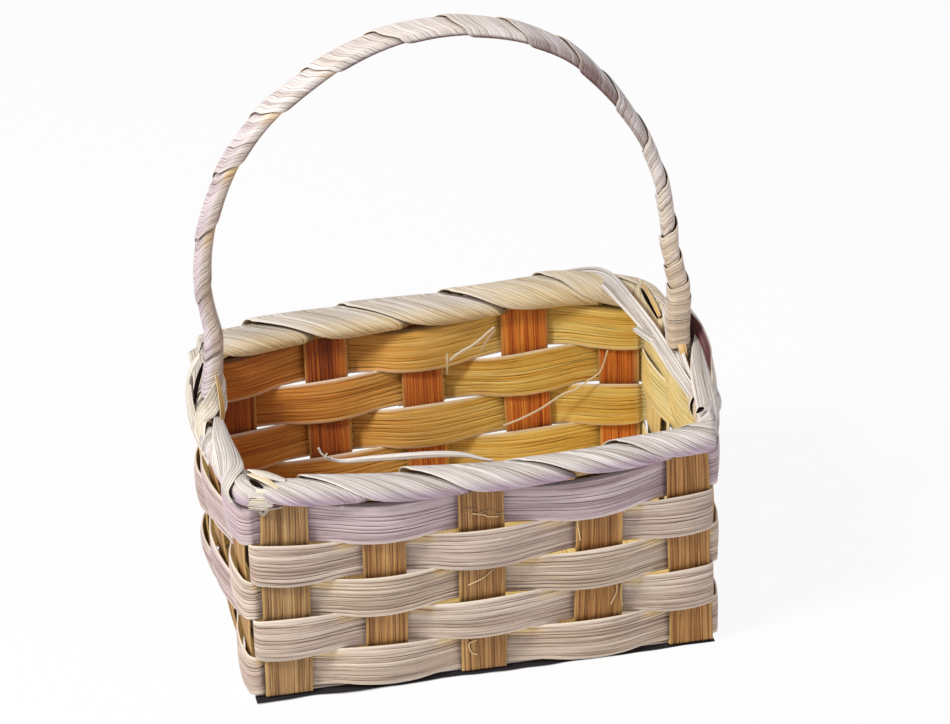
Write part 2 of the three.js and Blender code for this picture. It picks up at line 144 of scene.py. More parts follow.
def plan_point(along, outward):
    """Nested rounded rectangles: x and y of a place along the perimeter, this far outward."""
    along, outward = np.broadcast_arrays(along, outward)
    radius = np.maximum(CORNER_RADIUS + outward, TIGHTEST_RADIUS)
    rest = np.mod(along, PERIMETER)
    wall = np.clip(np.searchsorted(WALL_START, rest, side="right") - 1, FRONT, LEFT)
    rest = rest - WALL_START[wall]
    straight = WALL_STRAIGHT[wall]
    half_straight = WALL_LENGTHS[wall] / 2 + outward - radius
    bend = np.clip((rest - straight) / CORNER_SPAN, 0, 1) * QUARTER
    share = np.minimum(rest / straight, 1) * 2 - 1
    run = half_straight * share + radius * np.sin(bend)
    out = WALL_REACH[wall] + outward - radius + radius * np.cos(bend)
    x = WALL_RUN[wall, 0] * run + WALL_OUT[wall, 0] * out
    y = WALL_RUN[wall, 1] * run + WALL_OUT[wall, 1] * out
    return x, y


def settle(x, y, z):
    """The bow of the four walls, the sag of the front, the rise of the back and the swelling."""
    height = z / WALL_HEIGHT
    end = 2 * x / WALL_LENGTH
    side = 2 * y / WALL_WIDTH
    middle = 1 - end * end
    long_bow = np.where(side < 0, FRONT_BOW, BACK_BOW) * middle
    short_bow = END_BOW * (1 - side * side)
    lift = np.where(side < 0, FRONT_SAG * middle, BACK_RISE * hump(x, *BACK_RISE_HUMP))
    swell = SWELL * hump(y, *SWELL_HUMP) * (end < -END_WALL_SHARE)
    swell = swell * smooth(z / ROW_PITCH) * ease(z, *SWELL_TOP)
    return np.stack([
        x + end * short_bow * height - swell,
        y + side * long_bow * height,
        z + side * lift * height,
    ], axis=-1)


def on_wall(along, outward, height):
    x, y = plan_point(along, outward)
    x, y, height = np.broadcast_arrays(x, y, height)
    return settle(x, y, height)


def press_corners(places):
    for corner, start in CORNER_PRESS_FROM.items():
        near = smooth((-corner * places[..., 1] - start) / CORNER_PRESS_OVER)
        beyond = np.maximum(corner * places[..., 0] - WALL_LENGTH / 2, 0)
        places[..., 0] -= corner * PRESS * near * beyond
    return places


def on_rim(along, turn, lift):
    """A point over the rim: turn is nought outside, a quarter turn on top, half a turn inside."""
    outward = (RIM_HALF_THICKNESS + lift) * np.cos(turn)
    height = RIM_CENTRE + (RIM_HALF_HEIGHT + lift) * np.sin(turn)
    return press_corners(on_wall(along, outward, height))


# Places of the stakes round the basket
def even_places(count, span):
    outermost = span / 2 - CORNER_GAP - STAKE_WIDTH / 2
    return np.linspace(-outermost, outermost, count)


def stake_at(place, front=0, back=0, lean=0, front_width=STAKE_WIDTH, back_width=STAKE_WIDTH):
    widths = (front_width, back_width)
    return {"start": place + front, "end": place + back, "lean": lean, "widths": widths}


cross_places = even_places(CROSS_COUNT, WALL_LENGTH)
cross_stakes = [stake_at(place, *stray) for place, stray in zip(cross_places, STAKE_STRAYS)]
long_stakes = [stake_at(place) for place in even_places(LONG_COUNT, WALL_WIDTH)]
stakes_around = (
    [(along_wall(FRONT, stake["start"]), stake["lean"]) for stake in cross_stakes]
    + [(along_wall(RIGHT, stake["end"]), 0) for stake in long_stakes]
    + [(along_wall(BACK, -stake["end"]), 0) for stake in cross_stakes[::-1]]
    + [(along_wall(LEFT, -stake["start"]), 0) for stake in long_stakes[::-1]]
)
STAKE_TOTAL = len(stakes_around)
FIRST_BACK_STAKE = CROSS_COUNT + LONG_COUNT
FIRST_LEFT_STAKE = FIRST_BACK_STAKE + CROSS_COUNT
RIGHT_FOOT = CROSS_COUNT + LONG_COUNT // 2
LEFT_FOOT = FIRST_LEFT_STAKE + LONG_COUNT // 2


def stake_centres(height):
    return np.array([along + lean * height / WALL_HEIGHT for along, lean in stakes_around])


# Splints
class Wander:
    """A slow random wave along a splint, the same on every run."""

    LENGTHS = (0.6, 1.7)

    def __init__(self, rng, amplitude, wavelength, waves=3):
        self.amplitude = amplitude / math.sqrt(waves)
        self.lengths = wavelength * rng.uniform(*self.LENGTHS, waves)
        self.phases = rng.uniform(0, 2 * math.pi, waves)

    def __call__(self, along):
        total = 0
        for length, phase in zip(self.lengths, self.phases):
            total = total + np.sin(2 * math.pi * along / length + phase)
        return total * self.amplitude


# Grooves: their places within equal slots, half widths and levels, and how they wander and fade
GROOVE_SLOTS = (0.22, 0.78)
GROOVE_WIDTHS = (0.28, 0.62)
GROOVE_LEVELS = (0.2, 1.3)
GROOVE_DRIFT = (0.22, 80)
GROOVE_FADING = (0.4, 45)
GROOVED_SHARE = 0.9
MOST_DRIFT = 0.1
MOST_WIDTH = 0.24
EDGE_COLUMNS = (0.93, 0.975, 1.0)
OUTERMOST_COLUMN = 0.925
# Painted highlight on the ridges either side of each groove
RIDGE_HIGHLIGHT = 0.7
INNER_GROOVES = 0.55


class Grooves:
    """Grooves along a face of a splint. A column of points follows each, with one on either side."""

    def __init__(self, rng, count, strength):
        slots = (np.arange(count) + rng.uniform(*GROOVE_SLOTS, count)) / count * 2 - 1
        self.places = slots * GROOVED_SHARE
        self.widths = rng.uniform(*GROOVE_WIDTHS, count)
        self.drifts = [Wander(rng, *GROOVE_DRIFT) for _ in range(count)]
        self.depths = [Wander(rng, *GROOVE_FADING) for _ in range(count)]
        self.levels = rng.uniform(*GROOVE_LEVELS, count) * strength

    def columns(self, along, half_width):
        """Places across the splint from -1 to 1: grooves are above nought, the ridges by them below."""
        spacing = 2 * GROOVED_SHARE / len(self.places)
        most = spacing * MOST_DRIFT
        flat = np.zeros_like(along)
        places = [np.full_like(along, -edge) for edge in EDGE_COLUMNS[::-1]]
        values = [flat] * len(EDGE_COLUMNS)
        before = None
        for place, width, drift, depth, level in zip(
                self.places, self.widths, self.drifts, self.depths, self.levels):
            middle = place + np.clip(drift(along) / half_width, -most, most)
            reach = np.minimum(width / half_width, spacing * MOST_WIDTH)
            reach = np.minimum(reach, OUTERMOST_COLUMN - np.abs(middle))
            strength = np.clip(level + depth(along), 0, 1)
            if before is not None:
                places.append((before + middle) / 2)
                values.append(flat)
            places += [middle - reach, middle, middle + reach]
            # The ridges beside each groove are below nought, for a painted highlight
            values += [-RIDGE_HIGHLIGHT * strength, strength, -RIDGE_HIGHLIGHT * strength]
            before = middle
        places += [np.full_like(along, edge) for edge in EDGE_COLUMNS]
        values += [flat] * len(EDGE_COLUMNS)
        return np.stack(places, -1), np.stack(values, -1)


# A splint's section, where its painted edge highlight and its golden part begin and end, the spread
# of its painted seam shade, and its ragged ends
EDGE_THICKNESS = 0.35
EDGE_SQUARENESS = 10
EDGE_HIGHLIGHT = (0.86, 0.98)
GOLDEN_PART = (0.2, 0.8)
SEAM_SHADE = 0.1
EDGE_WAVE = 70
TEETH = (3.1, 1.1)
TEETH_WAVES = 5
RAGGED_REACH = 2.5
SEED_SHIFT = 7.3
FACE_SHIFT = 31


def splint(seed, surface, along, half_width, groove_count, groove_depth, thickness=SPLINT_THICKNESS,
           tone=0.5, ragged=0.0, edge_wander=0.25, dive=0.0, gold_and_lilac_shade=0.0, overlapped=0.0):
    """A splint as one closed shape. surface(step, length, across, offset) gives its points.

    tone says how far the outer face has its second colours or, below nought, how far it is painted in
    shade. dive says how far the upper part of that face is golden, as where it goes under a stake; on
    the weavers this is a painted glow of warm light from inside. gold_and_lilac_shade says how far all
    of it is golden or, below nought, painted lilac shade. overlapped is the share of the half width
    that is painted in shade by what lies on it, at the far edge or, below nought, at the near one.
    """
    rng = np.random.default_rng(seed)
    steps = len(along)
    step = np.arange(steps)[:, None]
    half_width = np.broadcast_to(np.asarray(half_width, float), (steps,))
    low_edge = Wander(rng, edge_wander, EDGE_WAVE)
    high_edge = Wander(rng, edge_wander, EDGE_WAVE)
    tone, dive, gold_and_lilac_shade = [np.asarray(value, float).reshape(-1, 1) for value in (tone, dive, gold_and_lilac_shade)]
    sheets = []
    for side in (1, -1):
        strength = 1.0 if side > 0 else INNER_GROOVES
        share, groove = Grooves(rng, groove_count, strength).columns(along, half_width)
        across = share * half_width[step]
        across = across + np.clip(-share, 0, 1) * low_edge(along)[step]
        across = across + np.clip(share, 0, 1) * high_edge(along)[step]
        length = np.broadcast_to(along[step], across.shape).copy()
        if ragged:
            teeth = sum(Wander(rng, 1, size, TEETH_WAVES)(across[0]) for size in TEETH)
            near_start = np.exp(-(length - along[0]) / (RAGGED_REACH * ragged))
            near_end = np.exp(-(along[-1] - length) / (RAGGED_REACH * ragged))
            length = length + ragged * teeth * (near_start + near_end)
        body = blend(EDGE_THICKNESS, 1, np.sqrt(1 - np.abs(share) ** EDGE_SQUARENESS))
        offset = side * (thickness / 2 * body - groove_depth * np.maximum(groove, 0))
        # A painted highlight along both edges; where overlapped, painted shade at the covered edge
        edge = ease(np.abs(share), *EDGE_HIGHLIGHT)
        if overlapped:
            towards = share * np.sign(overlapped)
            shaded_from = 1 - abs(overlapped)
            edge = np.where(towards > 0, -ease(towards, shaded_from - SEAM_SHADE, shaded_from), edge)
        # Gold, on the weavers partly a painted glow where they go under stakes, and below nought
        # painted lilac shade
        golden = (dive * ease(share, *GOLDEN_PART) + gold_and_lilac_shade) * (side > 0)
        number = seed * SEED_SHIFT + side * FACE_SHIFT
        values = np.broadcast_arrays(length, across, number, groove, (side + 1) / 2, edge, golden)
        sheet = np.concatenate([surface(step, length, across, offset), np.stack(values, -1)], -1)
        sheets.append(sheet[:, ::side])
    rings = np.concatenate(sheets, axis=1)
    ring = rings.shape[1]
    column = np.arange(ring)
    after = (column + 1) % ring
    here = step[:-1] * ring
    there = here + ring
    quads = np.stack([here + column, here + after, there + after, there + column], -1).reshape(-1, 4)
    first = np.arange(ring // 2 - 1)
    cap = np.stack([first, ring - 1 - first, ring - 2 - first, first + 1], -1)
    quads = np.concatenate([quads, cap, cap[:, ::-1] + (steps - 1) * ring])
    rows = rings.reshape(steps * ring, -1)
    points = rows[:, :3]
    a, b, c, d = (points[quads[:, k]] for k in range(4))
    volume = np.einsum("ij,ij->", a + c, np.cross(b - a, d - a))
    if volume < 0:
        quads = quads[:, ::-1]
    return points, quads, {
        "fibre_place": rows[:, 3:6],
        "look": rows[:, 6:9],
        "tone": np.broadcast_to(tone, (steps, ring)).ravel(),
        "gold_and_lilac_shade": rows[:, 9],
    }


# Materials
class Nodes:
    """The node tree of a material or of the world, with short ways to add to it."""

    def __init__(self, owner):
        owner.use_nodes = True
        self.tree = owner.node_tree

    def feed(self, socket, value):
        """Links another socket to this one, or sets it to a plain value."""
        if isinstance(value, bpy.types.NodeSocket):
            self.tree.links.new(value, socket)
        else:
            socket.default_value = value

    def add(self, kind, inputs, **settings):
        made = self.tree.nodes.new("ShaderNode" + kind)
        for key, value in settings.items():
            setattr(made, key, value)
        for key, value in inputs.items():
            self.feed(made.inputs[key], value)
        return made

    def attribute(self, name, output="Fac"):
        return self.add("Attribute", {}, attribute_name=name).outputs[output]

    def place(self):
        """The sockets of X, Y and Z in the object."""
        return self.add("SeparateXYZ", {0: self.add("TexCoord", {}).outputs["Object"]}).outputs

    def maths(self, operation, *values, clamp=False):
        inputs = dict(enumerate(values))
        return self.add("Math", inputs, operation=operation, use_clamp=clamp).outputs[0]

    def share(self, value, factor=1.0):
        return self.maths("MULTIPLY", value, factor, clamp=True)

    def mix(self, factor, first, second, mode="MIX"):
        inputs = {0: factor, 6: first, 7: second}
        return self.add("Mix", inputs, data_type="RGBA", blend_type=mode).outputs[2]

    def spread(self, value, start, end, low=0.0, high=1.0, kind="LINEAR"):
        """The value between start and end, spread from low to high."""
        inputs = {"Value": value, "From Min": start, "From Max": end, "To Min": low, "To Max": high}
        return self.add("MapRange", inputs, interpolation_type=kind).outputs[0]

    def ramp(self, factor, stops):
        made = self.add("ValToRGB", {"Fac": factor})
        elements = made.color_ramp.elements
        while len(elements) < len(stops):
            elements.new(0.5)
        for element, (place, colour) in zip(elements, stops):
            element.position = place
            element.color = colour
        return made.outputs["Color"]

    def grain(self, place, along, across, detail):
        """Noise whose grains are this long along the splint and this wide across it, in mm."""
        inputs = {0: place, 1: (1 / along, 1 / across, 1)}
        scaled = self.add("VectorMath", inputs, operation="MULTIPLY").outputs[0]
        inputs = {"Vector": scaled, "Scale": 1.0, "Detail": detail, "Roughness": GRAIN_ROUGHNESS}
        return self.add("TexNoise", inputs).outputs["Fac"]


def linear(colour):
    """Written colours are the ones seen on the screen, 0 to 255."""
    share = np.array(colour, float) / 255
    value = np.where(share <= 0.04045, share / 12.92, ((share + 0.055) / 1.055) ** 2.4)
    return (*value, 1)


# Grains of a splint's colour: length and width in mm, and detail
STREAK_LENGTH = 60
STREAK_DETAIL = 4
FINE_GRAIN = (25, 0.22, 2)
BAND_GRAIN = (140, 3.5, 2)
BLOTCH_GRAIN = (35, 14, 3)
PORE_GRAIN = (5, 0.35, 1)
GRAIN_ROUGHNESS = 0.6
STREAK_SHARE = 0.62
BAND_SHARE = 0.45
COLOUR_STOPS = (0.34, 0.47, 0.62)

# Where the inner faces turn brown to the left, as painted shade, pale at the ends, as painted
# light, and pale at the base, in metres
LEFT_SHADE_PLACES = (0.06, -0.085)
LIT_END_PLACES = (0.093, 0.098)
BASE_PALENESS = (0.018, 0.008)

# How noise, openness and fibres become lightness, painted shade and roughness: from, to, low and high
BLOTCHES = (0.35, 0.7, 0.86, 1.06)
CREVICE_SHADE = (0.75, 0.25, 0.0, 0.85)
FLECKS = (0.66, 0.78, 0.0, 0.45)
ROUGH_FIBRES = (0.3, 0.7)
ROUGHER = 0.12
SMOOTHER = 0.08
CREVICE_REACH = 0.003
CREVICE_SAMPLES = 4
# Painted shade at covered edges, and painted highlights on the ridges beside grooves
EDGE_SHADE = 0.8
RIDGE_HIGHLIGHT_COLOUR = (1.6, 1.58, 1.5, 1)
FINE_HEIGHT = 0.5
BUMP_STRENGTH = 0.5
BUMP_DEPTH = 0.0003
# Painted shade; gold, on the weavers a painted glow of warm light from inside; painted lilac shade
SHADED_SPLINT = (94, 54, 54)
GOLD = ((212, 160, 80), (234, 196, 110), (246, 224, 156))
LILAC_SHADE = ((138, 106, 126), (186, 158, 176), (214, 194, 208))


def splint_material(name, outer, inner, line, roughness, inner_left_shade=None, inner_end=None,
                    toned=None, line_strength=0.75, specular=0.35, streak_width=0.55,
                    edge_highlight_colour=(236, 224, 204), edge_highlight_strength=0.5, ridge_highlight_strength=0.5):
    """Bamboo: outer and inner are (dark, middle, pale) colours of the two faces."""
    material = bpy.data.materials.new(name)
    nodes = Nodes(material)
    shader = nodes.tree.nodes["Principled BSDF"]
    fibre_place = nodes.attribute("fibre_place", "Vector")
    groove, face, edge = nodes.add("SeparateXYZ", {0: nodes.attribute("look", "Vector")}).outputs
    tone = nodes.attribute("tone")
    gold_and_lilac_shade = nodes.attribute("gold_and_lilac_shade")
    streak = nodes.grain(fibre_place, STREAK_LENGTH, streak_width, STREAK_DETAIL)
    fine = nodes.grain(fibre_place, *FINE_GRAIN)
    fibre = nodes.maths("MULTIPLY", fine, 1 - STREAK_SHARE)
    fibre = nodes.maths("MULTIPLY_ADD", streak, STREAK_SHARE, fibre)
    bands = nodes.maths("SUBTRACT", nodes.grain(fibre_place, *BAND_GRAIN), 0.5)
    fibre = nodes.maths("MULTIPLY_ADD", bands, BAND_SHARE, fibre)

    def face_colour(colours):
        return nodes.ramp(fibre, list(zip(COLOUR_STOPS, map(linear, colours))))

    def lined(amount, colour):
        """The colour, darkened by this amount to that of its lines."""
        return nodes.mix(amount, colour, nodes.mix(1.0, colour, linear(line), "MULTIPLY"))

    outside = face_colour(outer)
    if toned:
        outside = nodes.mix(nodes.share(tone), outside, face_colour(toned))
    # A tone below nought paints the outer face in shade
    outside = nodes.mix(nodes.share(tone, -1.0), outside, linear(SHADED_SPLINT))
    inside = face_colour(inner)
    # Painted shade on the inner faces to the left and painted light on them at the ends; pale at the
    # base
    if inner_left_shade:
        x, _, z = nodes.place()
        left_shade = nodes.spread(x, *LEFT_SHADE_PLACES, kind="SMOOTHSTEP")
        inside = nodes.mix(left_shade, inside, face_colour(inner_left_shade))
        lit_end = nodes.spread(nodes.maths("ABSOLUTE", x), *LIT_END_PLACES)
        pale = nodes.maths("MAXIMUM", lit_end, nodes.spread(z, *BASE_PALENESS))
        inside = nodes.mix(pale, inside, face_colour(inner_end))
    colour = nodes.mix(face, inside, outside)
    # Gold and, below nought, painted lilac shade
    colour = nodes.mix(nodes.share(gold_and_lilac_shade), colour, face_colour(GOLD))
    colour = nodes.mix(nodes.share(gold_and_lilac_shade, -1.0), colour, face_colour(LILAC_SHADE))
    blotches = nodes.spread(nodes.grain(fibre_place, *BLOTCH_GRAIN), *BLOTCHES)
    colour = nodes.mix(1.0, colour, blotches, "MULTIPLY")
    # Painted highlight on the ridges beside the grooves
    ridge = nodes.mix(1.0, colour, RIDGE_HIGHLIGHT_COLOUR, "MULTIPLY")
    colour = nodes.mix(nodes.share(groove, -ridge_highlight_strength), colour, ridge)
    # Painted shade where nearby parts close the surface in, in the grooves, where it is also the dark
    # lines of the fibres, and at covered edges
    openness = nodes.add("AmbientOcclusion", {"Distance": CREVICE_REACH}, samples=CREVICE_SAMPLES)
    crevice_shade = nodes.spread(openness.outputs["AO"], *CREVICE_SHADE)
    lines = nodes.maths("MAXIMUM", nodes.share(groove, line_strength), crevice_shade)
    colour = lined(nodes.maths("MAXIMUM", lines, nodes.share(edge, -EDGE_SHADE)), colour)
    colour = lined(nodes.spread(nodes.grain(fibre_place, *PORE_GRAIN), *FLECKS), colour)
    # Painted highlight along the edges
    colour = nodes.mix(nodes.share(edge, edge_highlight_strength), colour, linear(edge_highlight_colour))

    rough = nodes.spread(fibre, *ROUGH_FIBRES, roughness + ROUGHER, roughness - SMOOTHER)
    height = nodes.maths("MULTIPLY_ADD", fine, FINE_HEIGHT, streak)
    inputs = {"Strength": BUMP_STRENGTH, "Distance": BUMP_DEPTH, "Height": height}
    nodes.feed(shader.inputs["Base Color"], colour)
    nodes.feed(shader.inputs["Roughness"], rough)
    nodes.feed(shader.inputs["Normal"], nodes.add("Bump", inputs).outputs[0])
    shader.inputs["Specular IOR Level"].default_value = specular
    return material


HANDLE_COLOURS = ((176, 134, 74), (212, 172, 104), (230, 200, 142))
HOOP_COLOURS = ((140, 104, 60), (168, 132, 80), (188, 156, 106))
GAP_SHADE_COLOURS = ((16, 12, 12), (28, 20, 18), (44, 32, 26))
MATERIALS = {
    "weaver": splint_material(
        "weaver_bamboo",
        outer=((134, 114, 86), (188, 168, 138), (226, 212, 184)),
        toned=((150, 128, 126), (186, 164, 168), (212, 196, 200)),
        inner=((206, 150, 54), (240, 196, 92), (252, 226, 138)),
        inner_left_shade=((152, 80, 28), (190, 110, 42), (214, 140, 60)),
        inner_end=((222, 196, 122), (238, 220, 152), (246, 234, 178)),
        line=(72, 56, 44), roughness=0.55, line_strength=0.95, streak_width=0.8,
        edge_highlight_colour=(244, 234, 216), edge_highlight_strength=0.6),
    "stake": splint_material(
        "stake_bamboo",
        outer=((106, 76, 42), (152, 116, 72), (190, 156, 106)),
        toned=((108, 64, 28), (158, 104, 50), (200, 148, 80)),
        inner=((130, 48, 16), (208, 106, 38), (246, 162, 66)),
        inner_left_shade=((92, 38, 18), (150, 70, 28), (188, 104, 40)),
        inner_end=((212, 176, 104), (230, 206, 136), (242, 224, 164)),
        line=(84, 64, 48), roughness=0.62, line_strength=0.85, streak_width=0.8,
        edge_highlight_colour=(214, 178, 108), edge_highlight_strength=0.45),
    "rim": splint_material(
        "rim_bamboo",
        outer=((140, 128, 114), (196, 188, 178), (236, 232, 226)),
        toned=((214, 184, 128), (243, 222, 172), (252, 240, 208)),
        inner=((176, 140, 84), (206, 176, 124), (226, 204, 160)),
        line=(84, 66, 56), roughness=0.45, specular=0.4, line_strength=0.8,
        edge_highlight_colour=(246, 240, 226)),
    "handle": splint_material(
        "handle_bamboo", HANDLE_COLOURS, HANDLE_COLOURS, line=(120, 84, 56), roughness=0.5),
    "handle_wrap": splint_material(
        "handle_wrap_bamboo",
        outer=((166, 150, 140), (218, 209, 201), (244, 240, 236)),
        toned=((164, 140, 112), (216, 195, 162), (240, 224, 196)),
        inner=((170, 136, 84), (196, 164, 112), (216, 190, 144)),
        line=(88, 70, 60), roughness=0.45, specular=0.4, line_strength=0.75, edge_highlight_strength=0.25),
    "hoop": splint_material(
        "hoop_bamboo", HOOP_COLOURS, HOOP_COLOURS, line=(120, 90, 60), roughness=0.6),
    # Near black: painted shade in gaps between splints
    "gap": splint_material(
        "shaded_gap", GAP_SHADE_COLOURS, GAP_SHADE_COLOURS, line=(60, 50, 44), roughness=0.9, specular=0.0,
        edge_highlight_strength=0.0, ridge_highlight_strength=0.0),
}


def add_piece(name, shapes, material, slot, *replaced):
    """One object of several closed shapes, each its points, faces and attributes."""
    starts = np.cumsum([0] + [len(points) for points, _, _ in shapes])
    points = np.concatenate([points for points, _, _ in shapes])
    faces = np.concatenate([quads + start for (_, quads, _), start in zip(shapes, starts)])
    mesh = bpy.data.meshes.new(name)
    mesh.from_pydata((points * MM).tolist(), [], faces.tolist())
    for key in shapes[0][2]:
        values = np.concatenate([attributes[key] for _, _, attributes in shapes])
        kind, field = ("FLOAT_VECTOR", "vector") if values.ndim == 2 else ("FLOAT", "value")
        attribute = mesh.attributes.new(key, kind, "POINT")
        attribute.data.foreach_set(field, values.astype(np.float32).ravel())
    mesh.polygons.foreach_set("use_smooth", np.ones(len(mesh.polygons), bool))
    mesh.materials.append(MATERIALS[material])
    mesh.update()
    piece = bpy.data.objects.new(name, mesh)
    bpy.context.scene.collection.objects.link(piece)
    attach(piece, "root")
    if replaced:
        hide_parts(*replaced)


# Stakes
STAKE_WAVE = 0.45
STAKE_STEP = 2.5
STAKE_REACH = STAKE_WIDTH / 2 + 0.5
STAKE_GROOVES = 9
STAKE_GROOVE_DEPTH = 0.28
TURN_POINTS = 5
CROSS_SEED = 11
LONG_SEED = 21
CROSS_TONES = (0.05, 0.6, 0.45, 0.75, 0.75)
LONG_TONE = 0.4


def is_weaver_outside(stake_number, row):
    return (stake_number + row) % 2 == 1


def stake_wave(stake_number, height):
    """The stake gives way a little to each weaver: inward where the weaver runs outside it."""
    row = (WALL_HEIGHT - height) / ROW_PITCH
    wave = np.cos(math.pi * (row - 0.5)) * (-1 if is_weaver_outside(stake_number, 0) else 1)
    return STAKE_WAVE * wave * smooth(height / ROW_PITCH)


def base_level(is_low):
    return SPLINT_THICKNESS / 2 + (0 if is_low else LAYER)


def base_heights(across, crossings, span):
    """Height of the middle of a base splint, woven over and under the ones that cross it."""
    places = [-span / 2]
    levels = [base_level(True)]
    for place, is_low in crossings:
        places += [place - STAKE_REACH, place + STAKE_REACH]
        levels += [base_level(is_low)] * 2
    places = np.array(places + [span / 2])
    levels = np.array(levels + [base_level(True)])
    index = np.clip(np.searchsorted(places, across) - 1, 0, len(places) - 2)
    return blend(levels[index], levels[index + 1], ease(across, places[index], places[index + 1]))


def stake_piece(name, seed, stake, span, crossings, numbers, is_long, tone):
    """A stake up one wall, across the base and up the wall opposite. numbers are its places there."""
    low = base_level(True)
    wall = np.arange(STAKE_TOP, low + TURN_RADIUS, -STAKE_STEP)
    turn = np.linspace(0, QUARTER, TURN_POINTS)
    base = np.arange(-span / 2 + TURN_RADIUS, span / 2 - TURN_RADIUS, STAKE_STEP)[1:]
    corner_out = span / 2 - TURN_RADIUS + TURN_RADIUS * np.cos(turn)
    corner_up = low + TURN_RADIUS - TURN_RADIUS * np.sin(turn)
    path = np.concatenate([
        np.stack([-(span / 2 + stake_wave(numbers[0], wall)), wall], -1),
        np.stack([-corner_out, corner_up], -1),
        np.stack([base, base_heights(base, crossings, span)], -1),
        np.stack([corner_out, corner_up], -1)[::-1],
        np.stack([span / 2 + stake_wave(numbers[1], wall), wall], -1)[::-1],
    ])
    slope = unit(np.gradient(path, axis=0))

    def surface(step, length, across, offset):
        place = path[step, 0] + slope[step, 1] * offset
        level = path[step, 1] - slope[step, 0] * offset
        lean = np.where(place < 0, stake["lean"] * level / WALL_HEIGHT, 0)
        middle = blend(stake["start"], stake["end"], (place / (span / 2) + 1) / 2) + lean
        sideways = middle + across
        return settle(place, sideways, level) if is_long else settle(sideways, place, level)

    half_width = np.interp(path[:, 0], (-span / 2, span / 2), stake["widths"]) / 2
    shape = splint(seed, surface, path_length(path), half_width, STAKE_GROOVES, STAKE_GROOVE_DEPTH,
                   tone=tone)
    add_piece(name + "_splint", [shape], "stake", "stake_splint", name)


def crossings_of(index, others, low_parity):
    """Where the other stakes cross this one, and whether it lies under each of them."""
    return [((other["start"] + other["end"]) / 2, (index + number) % 2 == low_parity)
            for number, other in enumerate(others)]


for index, stake in enumerate(cross_stakes):
    stake_piece(f"cross_stake_{index + 1}", CROSS_SEED + index, stake, WALL_WIDTH,
                crossings_of(index, long_stakes, 1), (index, FIRST_LEFT_STAKE - 1 - index), False,
                CROSS_TONES[index])

for index, stake in enumerate(long_stakes):
    stake_piece(f"long_stake_{index + 1}", LONG_SEED + index, stake, WALL_LENGTH,
                crossings_of(index, cross_stakes, 0), (STAKE_TOTAL - 1 - index, CROSS_COUNT + index),
                True, LONG_TONE)


# Weavers
WEAVER_CROWN = 1.7
WEAVER_CUP = 0.7
WEAVER_STEP = 2.2
WEAVER_SINK = (0.35, 110)
ROW_GAP = 0.1
CROWN_WIDENING = 1.0
TOP_RISE = 1.2
RIGHT_RISE = 3.0
END_CLOSENESS = 1.0
RIGHT_WALL_REACH = 45
LEFT_WALL_REACH = 60
END_WALL_FALL = 4
# The golden upper part where a weaver goes under a stake is a painted glow of warm light from inside;
# the lilac on the left end wall is painted shade
DIVE_GLOW = 0.6
DIVE_OUTWARD = (0.7, -1.0)
LEFT_LILAC_SHADE = 0.4
WEAVER_GROOVES = 9
WEAVER_GROOVE_DEPTH = 0.34
WEAVER_RAGGED = 0.25
# Painted shadow along the top of the top row, under the rim
UNDER_RIM_SHADOW = 0.12
WEAVER_SEED = 31
SINK_SEED = 100
# The second colours are a darker lilac: on the top row they are painted shade under the rim
WEAVER_TONES = (0.9, 0.35, 0.2, 0.3, 0.25)


def weaver_seat(number, row):
    """How far out the weaver lies at a stake: outside it, or inside it and inside the tongue."""
    if is_weaver_outside(number % STAKE_TOTAL, row):
        return LAYER
    has_tongue = number % STAKE_TOTAL in (RIGHT_FOOT, LEFT_FOOT) and row < TONGUE_ROWS
    return -LAYER - (TONGUE_LAYER if has_tongue else 0)


